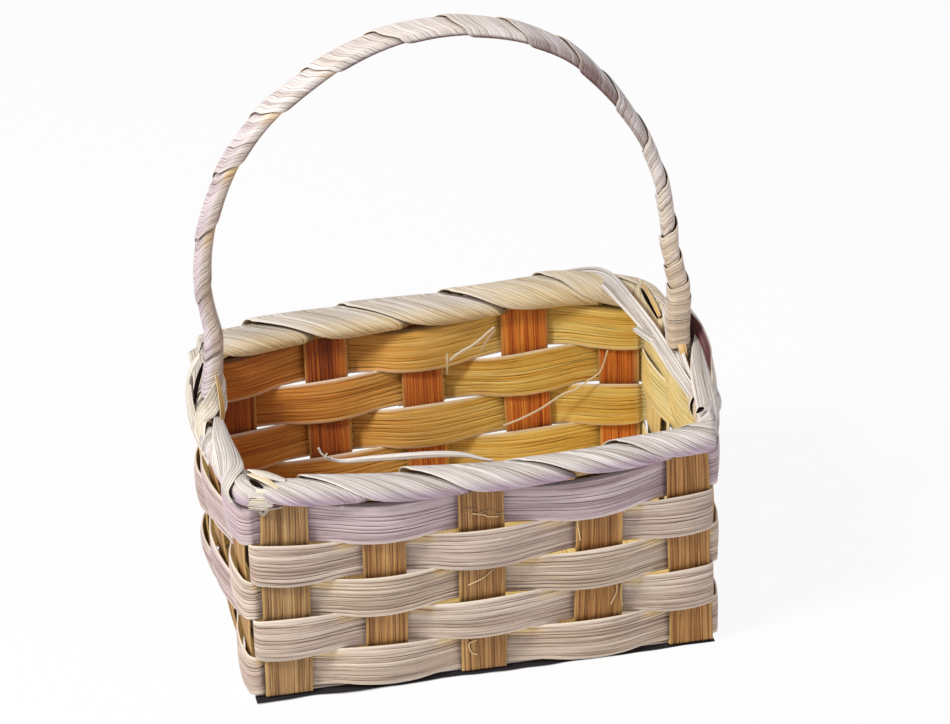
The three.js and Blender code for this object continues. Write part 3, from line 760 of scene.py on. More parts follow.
def weaver_piece(row):
    """A weaver once round the basket, with its end lapped over its start at the back."""
    middle_height = WALL_HEIGHT - (row + 0.5) * ROW_PITCH
    lap_stake = FIRST_BACK_STAKE + (CROSS_COUNT - 1) // 2 + (row + 1) % 2
    numbers = np.arange(lap_stake - 1, lap_stake + STAKE_TOTAL + 2)
    places = stake_centres(middle_height)[numbers % STAKE_TOTAL] + numbers // STAKE_TOTAL * PERIMETER
    seats = np.array([weaver_seat(number, row) for number in numbers])
    start = places[1] - STAKE_REACH
    finish = places[-2] + STAKE_REACH
    along = np.linspace(start, finish, int((finish - start) / WEAVER_STEP))
    left = np.clip(np.searchsorted(places, along) - 1, 0, len(places) - 2)
    from_left = along - places[left]
    to_right = places[left + 1] - along
    gap = places[left + 1] - places[left] - 2 * STAKE_REACH
    seat = blend(seats[left], seats[left + 1], smooth((from_left - STAKE_REACH) / gap))
    nearest = np.where(from_left < to_right, left, left + 1)
    half = (places[left + 1] - places[left]) / 2
    bulge = np.cos(QUARTER * np.minimum(from_left, to_right) / half) ** 2
    crown = WEAVER_CROWN * bulge * np.sign(seats[nearest])
    lap = LAYER * ease(along, places[-3] + STAKE_REACH, places[-2] - STAKE_REACH)
    outward = seat + crown + lap
    sink = Wander(np.random.default_rng(SINK_SEED + row), *WEAVER_SINK)(along)

    def on_end_wall(wall, reach):
        return np.exp(-((np.mod(along, PERIMETER) - along_wall(wall, 0)) / reach) ** END_WALL_FALL)

    on_right_wall = on_end_wall(RIGHT, RIGHT_WALL_REACH)
    half_width = ROW_PITCH / 2 - ROW_GAP + CROWN_WIDENING * np.abs(outward) / (LAYER + WEAVER_CROWN)
    half_width = half_width + END_CLOSENESS * on_right_wall
    top_rise = (TOP_RISE + RIGHT_RISE * on_right_wall) * (row == 0)

    def surface(step, length, across, offset):
        bend = outward[step]
        cup = WEAVER_CUP * np.sign(bend) * bulge[step] * (1 - (across / (ROW_PITCH / 2)) ** 2)
        rise = top_rise[step] * smooth(across / half_width[step])
        return on_wall(length, bend + cup + offset, middle_height + sink[step] + across + rise)

    # Painted glow where the weaver goes under a stake, painted lilac shade on the left end wall, and
    # painted shadow under the rim on the top row
    shape = splint(WEAVER_SEED + row, surface, along, half_width, WEAVER_GROOVES, WEAVER_GROOVE_DEPTH,
                   tone=WEAVER_TONES[row], ragged=WEAVER_RAGGED,
                   dive=DIVE_GLOW * ease(outward, *DIVE_OUTWARD) * (row > 0),
                   gold_and_lilac_shade=-LEFT_LILAC_SHADE * on_end_wall(LEFT, LEFT_WALL_REACH),
                   overlapped=UNDER_RIM_SHADOW * (row == 0))
    name = f"weaver_row_{row + 1}"
    add_piece(name + "_splint", [shape], "weaver", "weaver_splint", name)


for row in range(ROW_COUNT):
    weaver_piece(row)


# Rim
RIM_WRAP_STEPS = 26
RIM_TRAVEL = 1.5
# Painted shade at the edge of each turn that the next turn covers
RIM_COVERED = 0.1
TURN_WIDTH = 47
FIRST_TURN = 24
FIRST_TURN_WIDTH = 16
FIRST_PASS = 31
FIRST_PASS_WIDTH = 12
PASS_MARGIN = 3
PASS_SHARPNESS = 3
WIDTH_WANDER = (1.5, 60)
SHIFT_WANDER = (1.2, 75)
WRAP_TILT = 1.6
LEAST_TILT = 0.35
TILT_TURNS = (-0.9, 0.2)
WRAP_PUFF = 0.35
PUFF_TURN = 0.6
RIM_THICKNESS = 0.8
RIM_GROOVES = 14
RIM_GROOVE_DEPTH = 0.2
RIM_EDGE_WANDER = 0.5

# The wrap is more golden to the right, and golden low down inside as a painted glow of warm light
# from inside the basket; it is painted lilac shade low down outside
GOLDEN_RIGHT = (10, 60)
GOLDEN_RIGHT_FACTOR = 4
INSIDE_GLOW = 0.85
INSIDE_GLOW_TURNS = (0.35, -0.85)
OUTSIDE_SHADE_TURNS = (0.7, -0.4)


def rim_wrap_knots(first_stake, last_stake, slant):
    """Where the rim wrap goes over the rim at each stake and under it in each gap, and its widths."""
    centres = stake_centres(WALL_HEIGHT)

    def place_of(number):
        return centres[number % STAKE_TOTAL] + number // STAKE_TOTAL * PERIMETER

    start = place_of(first_stake)
    finish = place_of(last_stake)
    knots = [(start + FIRST_TURN, FIRST_TURN_WIDTH), (start + FIRST_PASS, FIRST_PASS_WIDTH)]
    for number in range(first_stake + 1, last_stake):
        here = place_of(number)
        after = place_of(number + 1)
        knots.append((here - slant, TURN_WIDTH))
        if number < last_stake - 1:
            width = after - here - STAKE_WIDTH - 2 * PASS_MARGIN
            knots.append(((here + after) / 2 + slant / 2, width))
    return knots + [(finish - FIRST_PASS, FIRST_PASS_WIDTH), (finish - FIRST_TURN, FIRST_TURN_WIDTH)]


def rim_wrap_piece(name, seed, first_stake, last_stake, golden, shaded, slant, seams):
    """seams says how far each turn stands up over the next one."""
    knots = np.array(rim_wrap_knots(first_stake, last_stake, slant))
    count = len(knots)
    share = np.linspace(0, count - 1, (count - 1) * RIM_WRAP_STEPS // 2 + 1)
    index = np.clip(share.astype(int), 0, count - 2)
    mix = share - index
    travel = np.where(index % 2 == 0, 1 - (1 - mix) ** RIM_TRAVEL, mix ** RIM_TRAVEL)
    along = blend(knots[index, 0], knots[index + 1, 0], travel)
    turn = QUARTER - math.pi * share
    passing = (1 - np.sin(turn)) / 2
    over = np.interp(share, np.arange(0, count, 2), knots[::2, 1])
    under = np.interp(share, np.arange(1, count, 2), knots[1::2, 1])
    rng = np.random.default_rng(seed)
    width = blend(over, under, passing ** PASS_SHARPNESS) + Wander(rng, *WIDTH_WANDER)(along)
    shift = Wander(rng, *SHIFT_WANDER)(along)
    path = on_rim(along, turn, WRAP_LIFT)
    rise = WRAP_TILT * np.interp(share, np.arange(len(seams)) * 2 + 2, seams)
    rise = rise * blend(LEAST_TILT, 1, ease(np.sin(turn), *TILT_TURNS))
    puff = WRAP_PUFF * np.sin(turn * 2 + PUFF_TURN)

    def surface(step, length, across, offset):
        tilt = rise[step] * (0.5 - math.copysign(1, slant) * across / width[step])
        lift = WRAP_LIFT + tilt + puff[step] + offset
        return on_rim(along[step] + shift[step] + across, turn[step], lift)

    is_inside = np.cos(turn) < 0
    tone = golden * (1 + GOLDEN_RIGHT_FACTOR * ease(path[:, 0], *GOLDEN_RIGHT))
    # Painted glow of warm light low down inside; painted lilac shade low down outside
    tone = tone + INSIDE_GLOW * ease(np.sin(turn + PUFF_TURN), *INSIDE_GLOW_TURNS) * is_inside
    lilac = -shaded * ease(np.sin(turn), *OUTSIDE_SHADE_TURNS) * ~is_inside
    shape = splint(seed, surface, path_length(path), width / 2, RIM_GROOVES, RIM_GROOVE_DEPTH,
                   thickness=RIM_THICKNESS, tone=tone, edge_wander=RIM_EDGE_WANDER, gold_and_lilac_shade=lilac,
                   overlapped=math.copysign(RIM_COVERED, slant))
    add_piece(name + "_splint", [shape], "rim", "rim_splint", name)


rim_wrap_piece("rim_wrap_front", 51, LEFT_FOOT, RIGHT_FOOT + STAKE_TOTAL, golden=0.0, shaded=0.9,
               slant=7, seams=(0.3, 0.5, 1.2, 1.6, 0.3, 1.3, 1))
rim_wrap_piece("rim_wrap_back", 52, RIGHT_FOOT, LEFT_FOOT, golden=0.15, shaded=0.2,
               slant=-7, seams=(1, 1, 1, 1, 1.8, 1, 1))

HOOP_SEEDS = {"outer": 121, "inner": 122}
HOOP_LAP = 4
HOOP_STEP = 3.0
HOOP_START = 30
HOOP_GROOVES = 4
HOOP_GROOVE_DEPTH = 0.05
HOOP_FLAT = SPLINT_THICKNESS / 2 + 0.5
HOOP_TOP_MARGIN = 0.1
TONGUE_HOLLOW = 2.6
HOLLOW_RISE = (9, 4)


def hoop_piece(which, side):
    """A split hoop, flat towards the stakes and round outside, hollowed where the handle passes."""
    along = np.arange(0, PERIMETER + HOOP_LAP, HOOP_STEP) + WALL_START[LEFT] + HOOP_START
    feet = np.array([along_wall(RIGHT, 0), along_wall(LEFT, 0), along_wall(LEFT, 0) + PERIMETER])
    from_foot = np.min(np.abs(along[:, None] - feet), axis=1)
    flat = HOOP_FLAT + TONGUE_HOLLOW * ease(from_foot, *HOLLOW_RISE) * (side < 0)

    def surface(step, length, across, offset):
        height_share = across / (RIM_HALF_HEIGHT + HOOP_TOP_MARGIN)
        rounding = RIM_HALF_THICKNESS * np.sqrt(np.clip(1 - height_share ** 2, 0, 1))
        outward = flat[step] + (offset + 0.5) * np.maximum(rounding - flat[step], HOOP_TOP_MARGIN)
        return press_corners(on_wall(length, side * outward, RIM_CENTRE + across))

    shape = splint(HOOP_SEEDS[which], surface, along, RIM_HALF_HEIGHT, HOOP_GROOVES, HOOP_GROOVE_DEPTH,
                   thickness=1.0, edge_wander=0.0)
    add_piece(f"rim_hoop_{which}_rod", [shape], "hoop", "rim_hoop", f"rim_hoop_{which}")


# Handle
HANDLE_CROWN = 270.4
HANDLE_SPAN = 99.5
HANDLE_SPRINGING = 163
HANDLE_LEAN = 4
LEAN_CENTRE = 197
LEAN_REACH = 60
LEAN_FALL = 3
TONGUE_TIP = 48
TONGUE_PLACE = 97.3
TONGUE_HALF_WIDTH = 3.5
TONGUE_TIP_HALF_WIDTH = 1.25
TONGUE_HALF_THICKNESS = 0.75
STRIP_HALF_WIDTH = 5.3
STRIP_HALF_THICKNESS = 1.3
STRIP_GROOVES = 5
STRIP_GROOVE_DEPTH = 0.12
TONGUE_POINTS = 20
LEG_POINTS = 30
ARCH_POINTS = 120
STRIP_POINTS = 320
STRIP_SEED = 61
FOOT_TOP = 111
FOOT_TAPER = 5
LEFT_BEND = 1.0
LEFT_BEND_HUMP = (137, 17)
RIGHT_BEND = 3.4
RIGHT_BEND_HUMP = (115, 20)
RIGHT_BEND_START = (100, 112)


def handle_line():
    """The middle line of the handle strip from the left tip to the right one, as x and z."""
    heights = np.concatenate([
        np.linspace(TONGUE_TIP, STAKE_TOP, TONGUE_POINTS),
        np.linspace(STAKE_TOP, HANDLE_SPRINGING, LEG_POINTS)[1:],
    ])
    tongue = TONGUE_PLACE + END_BOW * heights / WALL_HEIGHT
    tongue_end = TONGUE_PLACE + END_BOW * STAKE_TOP / WALL_HEIGHT
    climb = (heights - STAKE_TOP) / (HANDLE_SPRINGING - STAKE_TOP)
    out = np.where(climb < 0, tongue, blend(tongue_end, HANDLE_SPAN, smooth(climb)))
    angle = np.linspace(0, math.pi, ARCH_POINTS)[1:-1]
    arch_height = HANDLE_SPRINGING + (HANDLE_CROWN - HANDLE_SPRINGING) * np.sin(angle)
    line = np.concatenate([
        np.stack([-out, heights], -1),
        np.stack([-HANDLE_SPAN * np.cos(angle), arch_height], -1),
        np.stack([out, heights], -1)[::-1],
    ])
    left_bend = LEFT_BEND * hump(line[:, 1], *LEFT_BEND_HUMP)
    right_bend = RIGHT_BEND * hump(line[:, 1], *RIGHT_BEND_HUMP) * ease(line[:, 1], *RIGHT_BEND_START)
    line[:, 0] += np.where(line[:, 0] < 0, left_bend, -right_bend)
    from_centre = np.abs(line[:, 1] - LEAN_CENTRE) / LEAN_REACH
    line[:, 0] -= HANDLE_LEAN * smooth(1 - from_centre ** LEAN_FALL)
    return line


line = handle_line()
line_distance = path_length(line)
line_tangent = unit(np.gradient(line, axis=0))


def on_handle(distance, sideways, outward):
    """A point of the handle: distance along its middle line, across its width, out from it."""
    columns = (*line.T, *line_tangent.T)
    x, z, run, climb = (np.interp(distance, line_distance, column) for column in columns)
    return np.stack(np.broadcast_arrays(x - climb * outward, sideways, z + run * outward), -1)


def strip_size(distance):
    """The half width and the half thickness of the strip, which ends in two pointed tongues."""
    height = np.interp(distance, line_distance, line[:, 1])
    foot = ease(height, FOOT_TOP - FOOT_TAPER, FOOT_TOP)
    point = np.clip((RIM_CENTRE - height) / (RIM_CENTRE - TONGUE_TIP), 0, 1)
    half_tongue = blend(TONGUE_HALF_WIDTH, TONGUE_TIP_HALF_WIDTH, point)
    half_width = blend(half_tongue, STRIP_HALF_WIDTH, foot)
    return half_width, blend(TONGUE_HALF_THICKNESS, STRIP_HALF_THICKNESS, foot)


def handle_strip_piece():
    along = np.linspace(0, line_distance[-1], STRIP_POINTS)
    half_width, half_thickness = strip_size(along)

    def surface(step, length, across, offset):
        return on_handle(length, across, offset * half_thickness[step] / STRIP_HALF_THICKNESS)

    shape = splint(STRIP_SEED, surface, along, half_width, STRIP_GROOVES, STRIP_GROOVE_DEPTH,
                   thickness=2 * STRIP_HALF_THICKNESS, edge_wander=0.0)
    add_piece("handle_core_strip", [shape], "handle", "handle_strip", "handle_core")


# The pitch of the winding and its thickness over the strip, by distance along the handle
PITCH_PLACES = (64, 85, 120, 265, 290, 380, 430, 458, 476, 492)
PITCHES = (8, 26, 29.5, 29.5, 26, 24.5, 20, 12, 3.6, 3.2)
BULK_PLACES = (64, 100, 150, 300, 400, 430, 455, 475, 492)
BULKS = (1.9, 1.5, 1.0, 1.0, 0.8, 0.9, 2.0, 3.4, 3.2)
WRAP_SEED = 71
WRAP_STATIONS = 28
WRAP_START_TURN = 0.7
WRAP_THICKNESS = 0.7
WRAP_EDGE_WANDER = 0.3
# Painted shade at the edge of each turn that the next turn covers
WRAP_COVERED = 0.12
WALK_POINTS = 2000
WRAP_ABOVE_FOOT = 2
WRAP_PAST_FOOT = 7
WRAP_TAPER = 8
WRAP_NARROWING = 0.35
WRAP_OVERLAP = 1.06
WRAP_SIDE_LIFT = 0.5
WRAP_SQUARENESS = 0.6
WRAP_WIDTH_WANDER = (0.35, 3.0)
WRAP_PLACE_WANDER = (0.5, 4.0)
WRAP_GROOVES = 9
WRAP_GROOVE_DEPTH = 0.12
FULL_TILT_WIDTH = 24

# Colours of the winding: stretches of distance along the handle, and parts of a turn by the
# sine that points out of the arch or the cosine that points to the back. The shades are painted
# shade, and the lilac on the outer side of the left leg is painted lilac shade.
LEFT_LEG = (270, 130)
ARCH = (410, 360)
RIGHT_ARCH_HUMP = (350, 30)
RIGHT_FOOT_STRETCH = (400, 460)
GOLDEN_HUMP = (175, 50)
FRONT_PART = (-0.3, 0.7)
INNER_PART = (0.1, 0.35)
OUTER_PART = (0.1, 0.7)
LEG_FRONT_PART = (0.6, 0.0)
LEG_INNER_HUMP = (-0.2, 0.35)
INNER_SHADE = 0.95
LEG_INNER_SHADE = 0.5
RIGHT_ARCH_SHADE = 0.85
RIGHT_ARCH_OUTER = 0.4
LEG_FRONT_SHADE = 0.3
LEG_SIDE_SHADE = 0.2
WRAP_TAN = 0.15
FOOT_TAN = 0.7
TAN_LOSS = 3
LEG_GOLD = 0.15
LEG_LILAC_SHADE = 0.5
ARCH_GOLD = 0.5


def power(value, exponent):
    return np.sign(value) * np.abs(value) ** exponent


def wrap_colours(centre, angle):
    """The tone (below nought, painted shade), gold and painted lilac shade, and dive of the handle's
    winding at a distance along it and a turn round it.
    """
    outwards = np.sin(angle)
    left_leg = ease(centre, *LEFT_LEG)
    on_front = ease(-np.cos(angle), *FRONT_PART)
    inner = ease(-outwards, *INNER_PART) * ease(centre, *ARCH)
    outer = ease(outwards, *OUTER_PART)
    # Painted shade: under the arch, on the front of its right side, and on the left leg
    arch_shade = blend(INNER_SHADE, LEG_INNER_SHADE, left_leg) * inner
    right_shade = RIGHT_ARCH_SHADE * hump(centre, *RIGHT_ARCH_HUMP) * on_front
    right_shade = right_shade * blend(1, RIGHT_ARCH_OUTER, outer)
    leg_shade = LEG_FRONT_SHADE * ease(np.cos(angle), *LEG_FRONT_PART)
    leg_shade = (leg_shade + LEG_SIDE_SHADE * hump(outwards, *LEG_INNER_HUMP)) * left_leg
    shadow = np.maximum(np.maximum(arch_shade, right_shade), leg_shade)
    tan = WRAP_TAN + FOOT_TAN * ease(centre, *RIGHT_FOOT_STRETCH) * on_front
    return {
        "tone": np.minimum(tan * (1 - np.minimum(TAN_LOSS * shadow, 1)) - shadow, 1),
        "gold_and_lilac_shade": left_leg * (LEG_GOLD * on_front * (1 - outer) - LEG_LILAC_SHADE * outer),
        "dive": ARCH_GOLD * on_front * hump(centre, *GOLDEN_HUMP),
    }


def handle_wrap_piece():
    above_foot = line_distance[np.nonzero(line[:, 1] >= FOOT_TOP)[0][0]]
    last = line_distance[-1] - above_foot + WRAP_PAST_FOOT
    walk = np.linspace(above_foot + WRAP_ABOVE_FOOT, last, WALK_POINTS)
    pitch = np.interp(walk[1:], PITCH_PLACES, PITCHES)
    turns_at = np.concatenate([[0], np.cumsum(np.diff(walk) / pitch)])
    turn = np.linspace(0, turns_at[-1], int(turns_at[-1] * WRAP_STATIONS))
    rng = np.random.default_rng(WRAP_SEED)
    centre = np.interp(turn, turns_at, walk)
    width = np.interp(centre, PITCH_PLACES, PITCHES) * WRAP_OVERLAP
    width = width + Wander(rng, *WRAP_WIDTH_WANDER)(turn)
    centre = centre + Wander(rng, *WRAP_PLACE_WANDER)(turn)
    angle = 2 * math.pi * (turn + WRAP_START_TURN)
    narrowing = 1 - WRAP_NARROWING * ease(centre, walk[-1] - WRAP_TAPER, walk[-1])
    half_width, half_thickness = strip_size(centre)
    half_width = (half_width + WRAP_SIDE_LIFT) * narrowing
    half_thickness = (half_thickness + np.interp(centre, BULK_PLACES, BULKS)) * narrowing
    round_side = power(np.cos(angle), WRAP_SQUARENESS)
    round_out = power(np.sin(angle), WRAP_SQUARENESS)
    path = on_handle(centre, half_width * round_side, half_thickness * round_out)
    overlap = np.minimum(width / FULL_TILT_WIDTH, 1.0)

    def surface(step, length, across, offset):
        lift = overlap[step] * (0.5 - across / width[step]) + offset
        side = (half_width[step] + lift) * round_side[step]
        out = (half_thickness[step] + lift) * round_out[step]
        return on_handle(centre[step] + across, side, out)

    shape = splint(WRAP_SEED, surface, path_length(path), width / 2, WRAP_GROOVES, WRAP_GROOVE_DEPTH,
                   thickness=WRAP_THICKNESS, edge_wander=WRAP_EDGE_WANDER, overlapped=WRAP_COVERED,
                   **wrap_colours(centre, angle))
    add_piece("handle_wrap_splint", [shape], "handle_wrap", "handle_splint", "handle_wrap")


handle_strip_piece()
handle_wrap_piece()


# Bands: splints laid freely through knots of place, facing and width
BAND_SPANS = 14
BAND_EDGE_WANDER = 0.15
LEAST_WIDTH = 0.4
RIM_ROUND = 1 / 7
# A tone below nought paints a band in shade
SHADED_TONE = -1.0


def free_knots(facing, *rows):
    """Knots that face the same way, from rows of x, y, z and width."""
    return [(*row[:3], *facing, row[3]) for row in rows]


def even_knots(facing, width, points):
    """Knots of one facing and one width through the points."""
    return [(*point, *facing, width) for point in points]


def rim_knots(wall, *rows):
    """Knots on the rim, from rows of place along the wall, turn over the rim, lift and width."""
    knots = []
    for from_middle, turn, lift, width in rows:
        along = along_wall(wall, from_middle)
        place = on_rim(along, turn, lift)
        knots.append((*place, *(on_rim(along, turn, lift + 1) - place), width))
    return knots


def curve_through(knots, spans_each):
    """Catmull-Rom through the rows of knots."""
    knots = np.asarray(knots, float)
    padded = np.concatenate([[2 * knots[0] - knots[1]], knots, [2 * knots[-1] - knots[-2]]])
    share = np.linspace(0, len(knots) - 1, (len(knots) - 1) * spans_each + 1)
    index = np.minimum(share.astype(int), len(knots) - 2)
    t = (share - index)[:, None]
    a, b, c, d = (padded[index + k] for k in range(4))
    return 0.5 * (2 * b + (c - a) * t + (2 * a - 5 * b + 4 * c - d) * t ** 2
                  + (3 * b - a - 3 * c + d) * t ** 3)


def band(seed, knots, round_over=0.0, thickness=0.7, groove_count=5, groove_depth=0.14, tone=0.3,
         ragged=0.0):
    """A band through the knots. round_over is one over the radius that it bends over sideways."""
    curve = curve_through(knots, BAND_SPANS)
    middle = curve[:, :3]
    width = np.maximum(curve[:, 6], LEAST_WIDTH)
    tangent = unit(np.gradient(middle, axis=0))
    facing = curve[:, 3:6]
    facing = unit(facing - np.sum(facing * tangent, axis=1)[:, None] * tangent)
    sideways = np.cross(tangent, facing)
    along = path_length(middle)

    def surface(step, length, across, offset):
        slide = (length - along[step])[..., None]
        lift = (offset - across ** 2 * round_over / 2)[..., None]
        return (middle[step] + tangent[step] * slide
                + sideways[step] * across[..., None] + facing[step] * lift)

    return splint(seed, surface, along, width / 2, groove_count, groove_depth, thickness=thickness,
                  tone=tone, ragged=ragged, edge_wander=BAND_EDGE_WANDER)


right_bands = [
    # From the back rim straight across the corner to the end rim
    band(81, free_knots((0, -0.2, 1), (62, 73.5, 110.5, 9))
         + free_knots((-0.4, -0.4, 0.85), (80, 69, 111, 8.5))
         + free_knots((-0.55, -0.3, 0.8), (87, 47, 109.5, 7.5), (91.7, 20, 108, 6.5),
                      (93.9, -5, 107, 6))
         + free_knots((-0.6, -0.3, 0.75), (95.5, -20, 106, 5.5), (98, -34, 103.5, 5)),
         tone=0.05, groove_count=3, groove_depth=0.08),
    # From behind the leg, along the inside of the end rim
    band(82, rim_knots(RIGHT, (38, 1.2, 1.5, 8))
         + free_knots((-0.5, -0.25, 0.85), (101.5, 18, 109.5, 8))
         + free_knots((-0.6, -0.3, 0.8), (98.3, 2, 109.5, 7), (97.3, -15, 107, 6.5),
                      (98.5, -34, 102.5, 6)),
         tone=0.1, groove_count=4, groove_depth=0.1),
    # Pointed, on top of the end rim in front of the leg
    band(83, [
        (97.5, -64, 101.5, 0.1, -0.6, 0.8, 8),
        (99.5, -56, 104.5, 0.1, -0.5, 0.85, 9.5),
        (101.5, -44, 106.5, 0.1, -0.35, 0.93, 10),
        (103.3, -28, 107.5, 0.15, -0.35, 0.92, 9.5),
        (105.2, -14, 109.5, 0.2, -0.4, 0.9, 7),
        (106.6, -4, 112.5, 0.2, -0.5, 0.84, 3),
        (107.2, 0, 115, 0.2, -0.6, 0.77, 0.5),
    ], round_over=1 / 9, tone=0.05, groove_count=6),
    # Outside, behind the leg and down to the end rim
    band(84, free_knots((0.9, -0.2, 0.4), (104.6, 5, 126, 2), (110.5, 0, 116, 4), (111, -12, 107, 5),
                        (108.5, -28, 103.5, 5), (103.5, -44, 102, 4)), tone=0.4),
    # Its inner side, painted dark as shade
    band(87, free_knots((-0.7, -0.6, 0.3), (102, 5, 126, 4), (107, 0, 116.5, 8), (108.5, -9, 109, 9),
                        (107.5, -20, 105, 5)), tone=SHADED_TONE),
    # A short free end
    band(85, free_knots((-0.4, -0.3, 0.85), (86, 24, 107.5, 3), (89.5, 16, 107, 3.6), (94, 7, 106, 3.6),
                        (98, -2, 104.5, 3)), tone=0.0, groove_count=2, ragged=0.6),
    # The outer side of the end rim, behind the leg
    band(86, rim_knots(RIGHT, (58, 0.9, 1.2, 9), (38, 0.7, 1.6, 9), (18, 0.6, 1.8, 8), (0, 0.5, 1.6, 6),
                       (-16, 0.2, 1.2, 5)), round_over=RIM_ROUND),
]
left_bands = [
    # Broad, from the foot of the leg to the front corner
    band(91, rim_knots(LEFT, (-2, 2.2, 2.0, 0.8), (10, 2.1, 2.0, 4.5), (26, 1.85, 1.9, 8.5),
                       (42, 1.6, 1.8, 11), (53, 1.2, 2.1, 12), (58, 0.7, 2.5, 12.5), (60, 0.1, 2.5, 12),
                       (60.5, -0.7, 2.0, 11)), round_over=RIM_ROUND, tone=0.0, groove_count=8),
    # The outer loop beside the leg
    band(92, free_knots((-0.9, -0.1, 0.4), (-106, 2, 131, 2), (-108.5, 11, 121, 4), (-110, 17, 110, 5),
                        (-111, 4, 103.5, 6), (-110.2, -14, 101, 6), (-108.5, -32, 98.5, 4)), tone=0.2),
    # The outer side of the end rim, behind the leg
    band(93, rim_knots(LEFT, (-58, 1.0, 1.2, 10), (-38, 0.9, 1.6, 10), (-18, 0.8, 1.8, 9),
                       (0, 0.5, 1.6, 7), (16, 0.2, 1.2, 6)), round_over=RIM_ROUND, tone=0.1),
]
# Two that slant over the foot of the leg, one above the other
for number, up in enumerate((-6, 0)):
    on_the_rim = rim_knots(LEFT, (20 - up, -0.5, 1.0, 7), (11 - up / 2, 0.8, 2.2, 7.5))
    left_bands.append(band(94 + number, on_the_rim + [
        (-104.2, -7.2, 110.5 + up, -0.3, -0.95, 0.2, 7.5),
        (-100.5, -7, 117 + up, 0.1, -1, 0.1, 7.5),
        (-97.6, -3, 122 + up, 0.9, -0.4, 0.1, 7),
        (-97.6, 3, 125 + up, 1, 0.3, 0, 6),
    ]))
add_piece("handle_lashing_right_splints", right_bands, "rim", "rim_splint", "handle_lashing_right")
add_piece("handle_lashing_left_splints", left_bands, "rim", "rim_splint", "handle_lashing_left")

corner_bands = [
    # Golden, slanting off the corner
    band(101, rim_knots(FRONT, (-98.3, 2.0, 2.4, 1.6), (-95.3, 1.65, 3.4, 3.0), (-91, 1.2, 3.0, 3.0),
                        (-86, 0.7, 1.4, 1)), tone=0.8),
    # A pale one behind it
    band(100, rim_knots(FRONT, (-98.8, 2.5, 2.4, 2), (-95.5, 2.1, 4.4, 4.5), (-90, 1.7, 3.8, 5),
                        (-82, 1.4, 1.2, 2)), tone=0.2, round_over=RIM_ROUND),
    # Painted shade behind the short ends below
    band(103, rim_knots(FRONT, (-98, 0.0, 1.3, 10), (-92, -0.1, 1.6, 10), (-86, -0.4, 1.0, 6)),
         tone=SHADED_TONE, round_over=RIM_ROUND),
]
# Short ends, one under the other: turn, start, end, width, tone
SHORT_ENDS = (
    (0.55, -97.8, -90, 2.0, 0.5), (0.28, -98.6, -89, 2.2, 0.2), (-0.02, -98.1, -89, 2.0, 0.5),
    (-0.34, -98.9, -86.5, 2.4, 0.2), (-0.68, -98.2, -87, 2.0, 0.6), (-1.02, -98.6, -84.5, 2.2, 0.3),
)
for number, (turn, first, last, width, tone) in enumerate(SHORT_ENDS):
    middle = (first + last) / 2
    knots = rim_knots(FRONT, (first, turn, 1.7, width * 0.8), (middle, turn + 0.04, 2.0, width),
                      (last, turn - 0.12, 0.9, width * 0.8))
    corner_bands.append(band(104 + number, knots, tone=tone, thickness=0.5, groove_count=2, ragged=0.5))
add_piece("rim_corner_splints", corner_bands, "rim", "rim_splint")

UPWARD = (0, -0.55, 0.83)
# Near-black bands of painted shade in gaps between splints
gaps = [
    # At the front right corner
    band(88, free_knots(UPWARD, (94, -56.4, 107.6, 0.5), (95.8, -55, 108.2, 1.9),
                        (97.6, -53.8, 108, 0.6))),
    # In the loop beside the left foot of the handle, from the leg to the end rim
    band(96, free_knots((-0.9, -0.3, 0.4), (-104.4, 5, 125.5, 0.8), (-106.4, 7.5, 118, 2.6),
                        (-108.2, 8, 111, 2.6), (-109.2, 6, 106, 0.8))),
    # At the front left corner
    band(102, rim_knots(FRONT, (-97.4, 1.35, 2.2, 0.6), (-95.6, 1.1, 2.5, 2.0),
                        (-92.8, 0.8, 2.3, 0.5))),
    # At the back right corner
    band(164, rim_knots(RIGHT, (58, 2.12, 2.2, 0.5), (51, 2.2, 2.7, 1.4), (43, 2.28, 2.6, 1.3),
                        (34, 2.4, 2.0, 0.4))),
]
add_piece("shaded_gaps", gaps, "gap", "rim_splint")

hoop_piece("outer", 1)
hoop_piece("inner", -1)


# Loose fibres
FIBRE_FLATNESS = 0.6
INTO_BASKET = (0, -1, 0)
WALL_FIBRE_LIFT = 1.2


def fibre(seed, width, points, tone, facing=INTO_BASKET):
    """A thin loose fibre through the points, a little flattened."""
    return band(seed, even_knots(facing, width, points), thickness=width * FIBRE_FLATNESS,
                groove_count=1, groove_depth=0.03, tone=tone)


def front_knots(facing, width, places):
    """Knots just off the front wall, from their x and z."""
    points = [on_wall(along_wall(FRONT, x), WALL_FIBRE_LIFT, z) for x, z in places]
    return even_knots(facing, width, points)


RIM_FACING = (0, -0.8, 0.6)
rim_fibres = [
    band(111, free_knots(
        UPWARD, (-62, -60, 109.2, 1.0), (-58.8, -59, 107.2, 1.2), (-54.5, -58.5, 106.3, 1.9),
        (-44, -58.5, 106, 2.6), (-30, -59.5, 105.8, 3.0), (-16, -60, 104.8, 2.8),
        (-6, -60.5, 103.2, 2.2), (1, -61, 100.8, 1.4), (6, -61.5, 99.6, 0.8),
    ), thickness=1.2, groove_count=2, groove_depth=0.05, tone=0.05),
    fibre(112, 1.0, [(-67, -62, 116), (-65.6, -61, 112.5), (-62.5, -60, 109.5), (-57, -58.5, 106.6)],
          0.3, RIM_FACING),
    fibre(117, 0.7, [(-63.5, -62, 113), (-64, -60.5, 110), (-61.5, -59, 107.5)], 0.3, RIM_FACING),
]
add_piece("loose_rim_fibres", rim_fibres, "rim", "rim_splint")
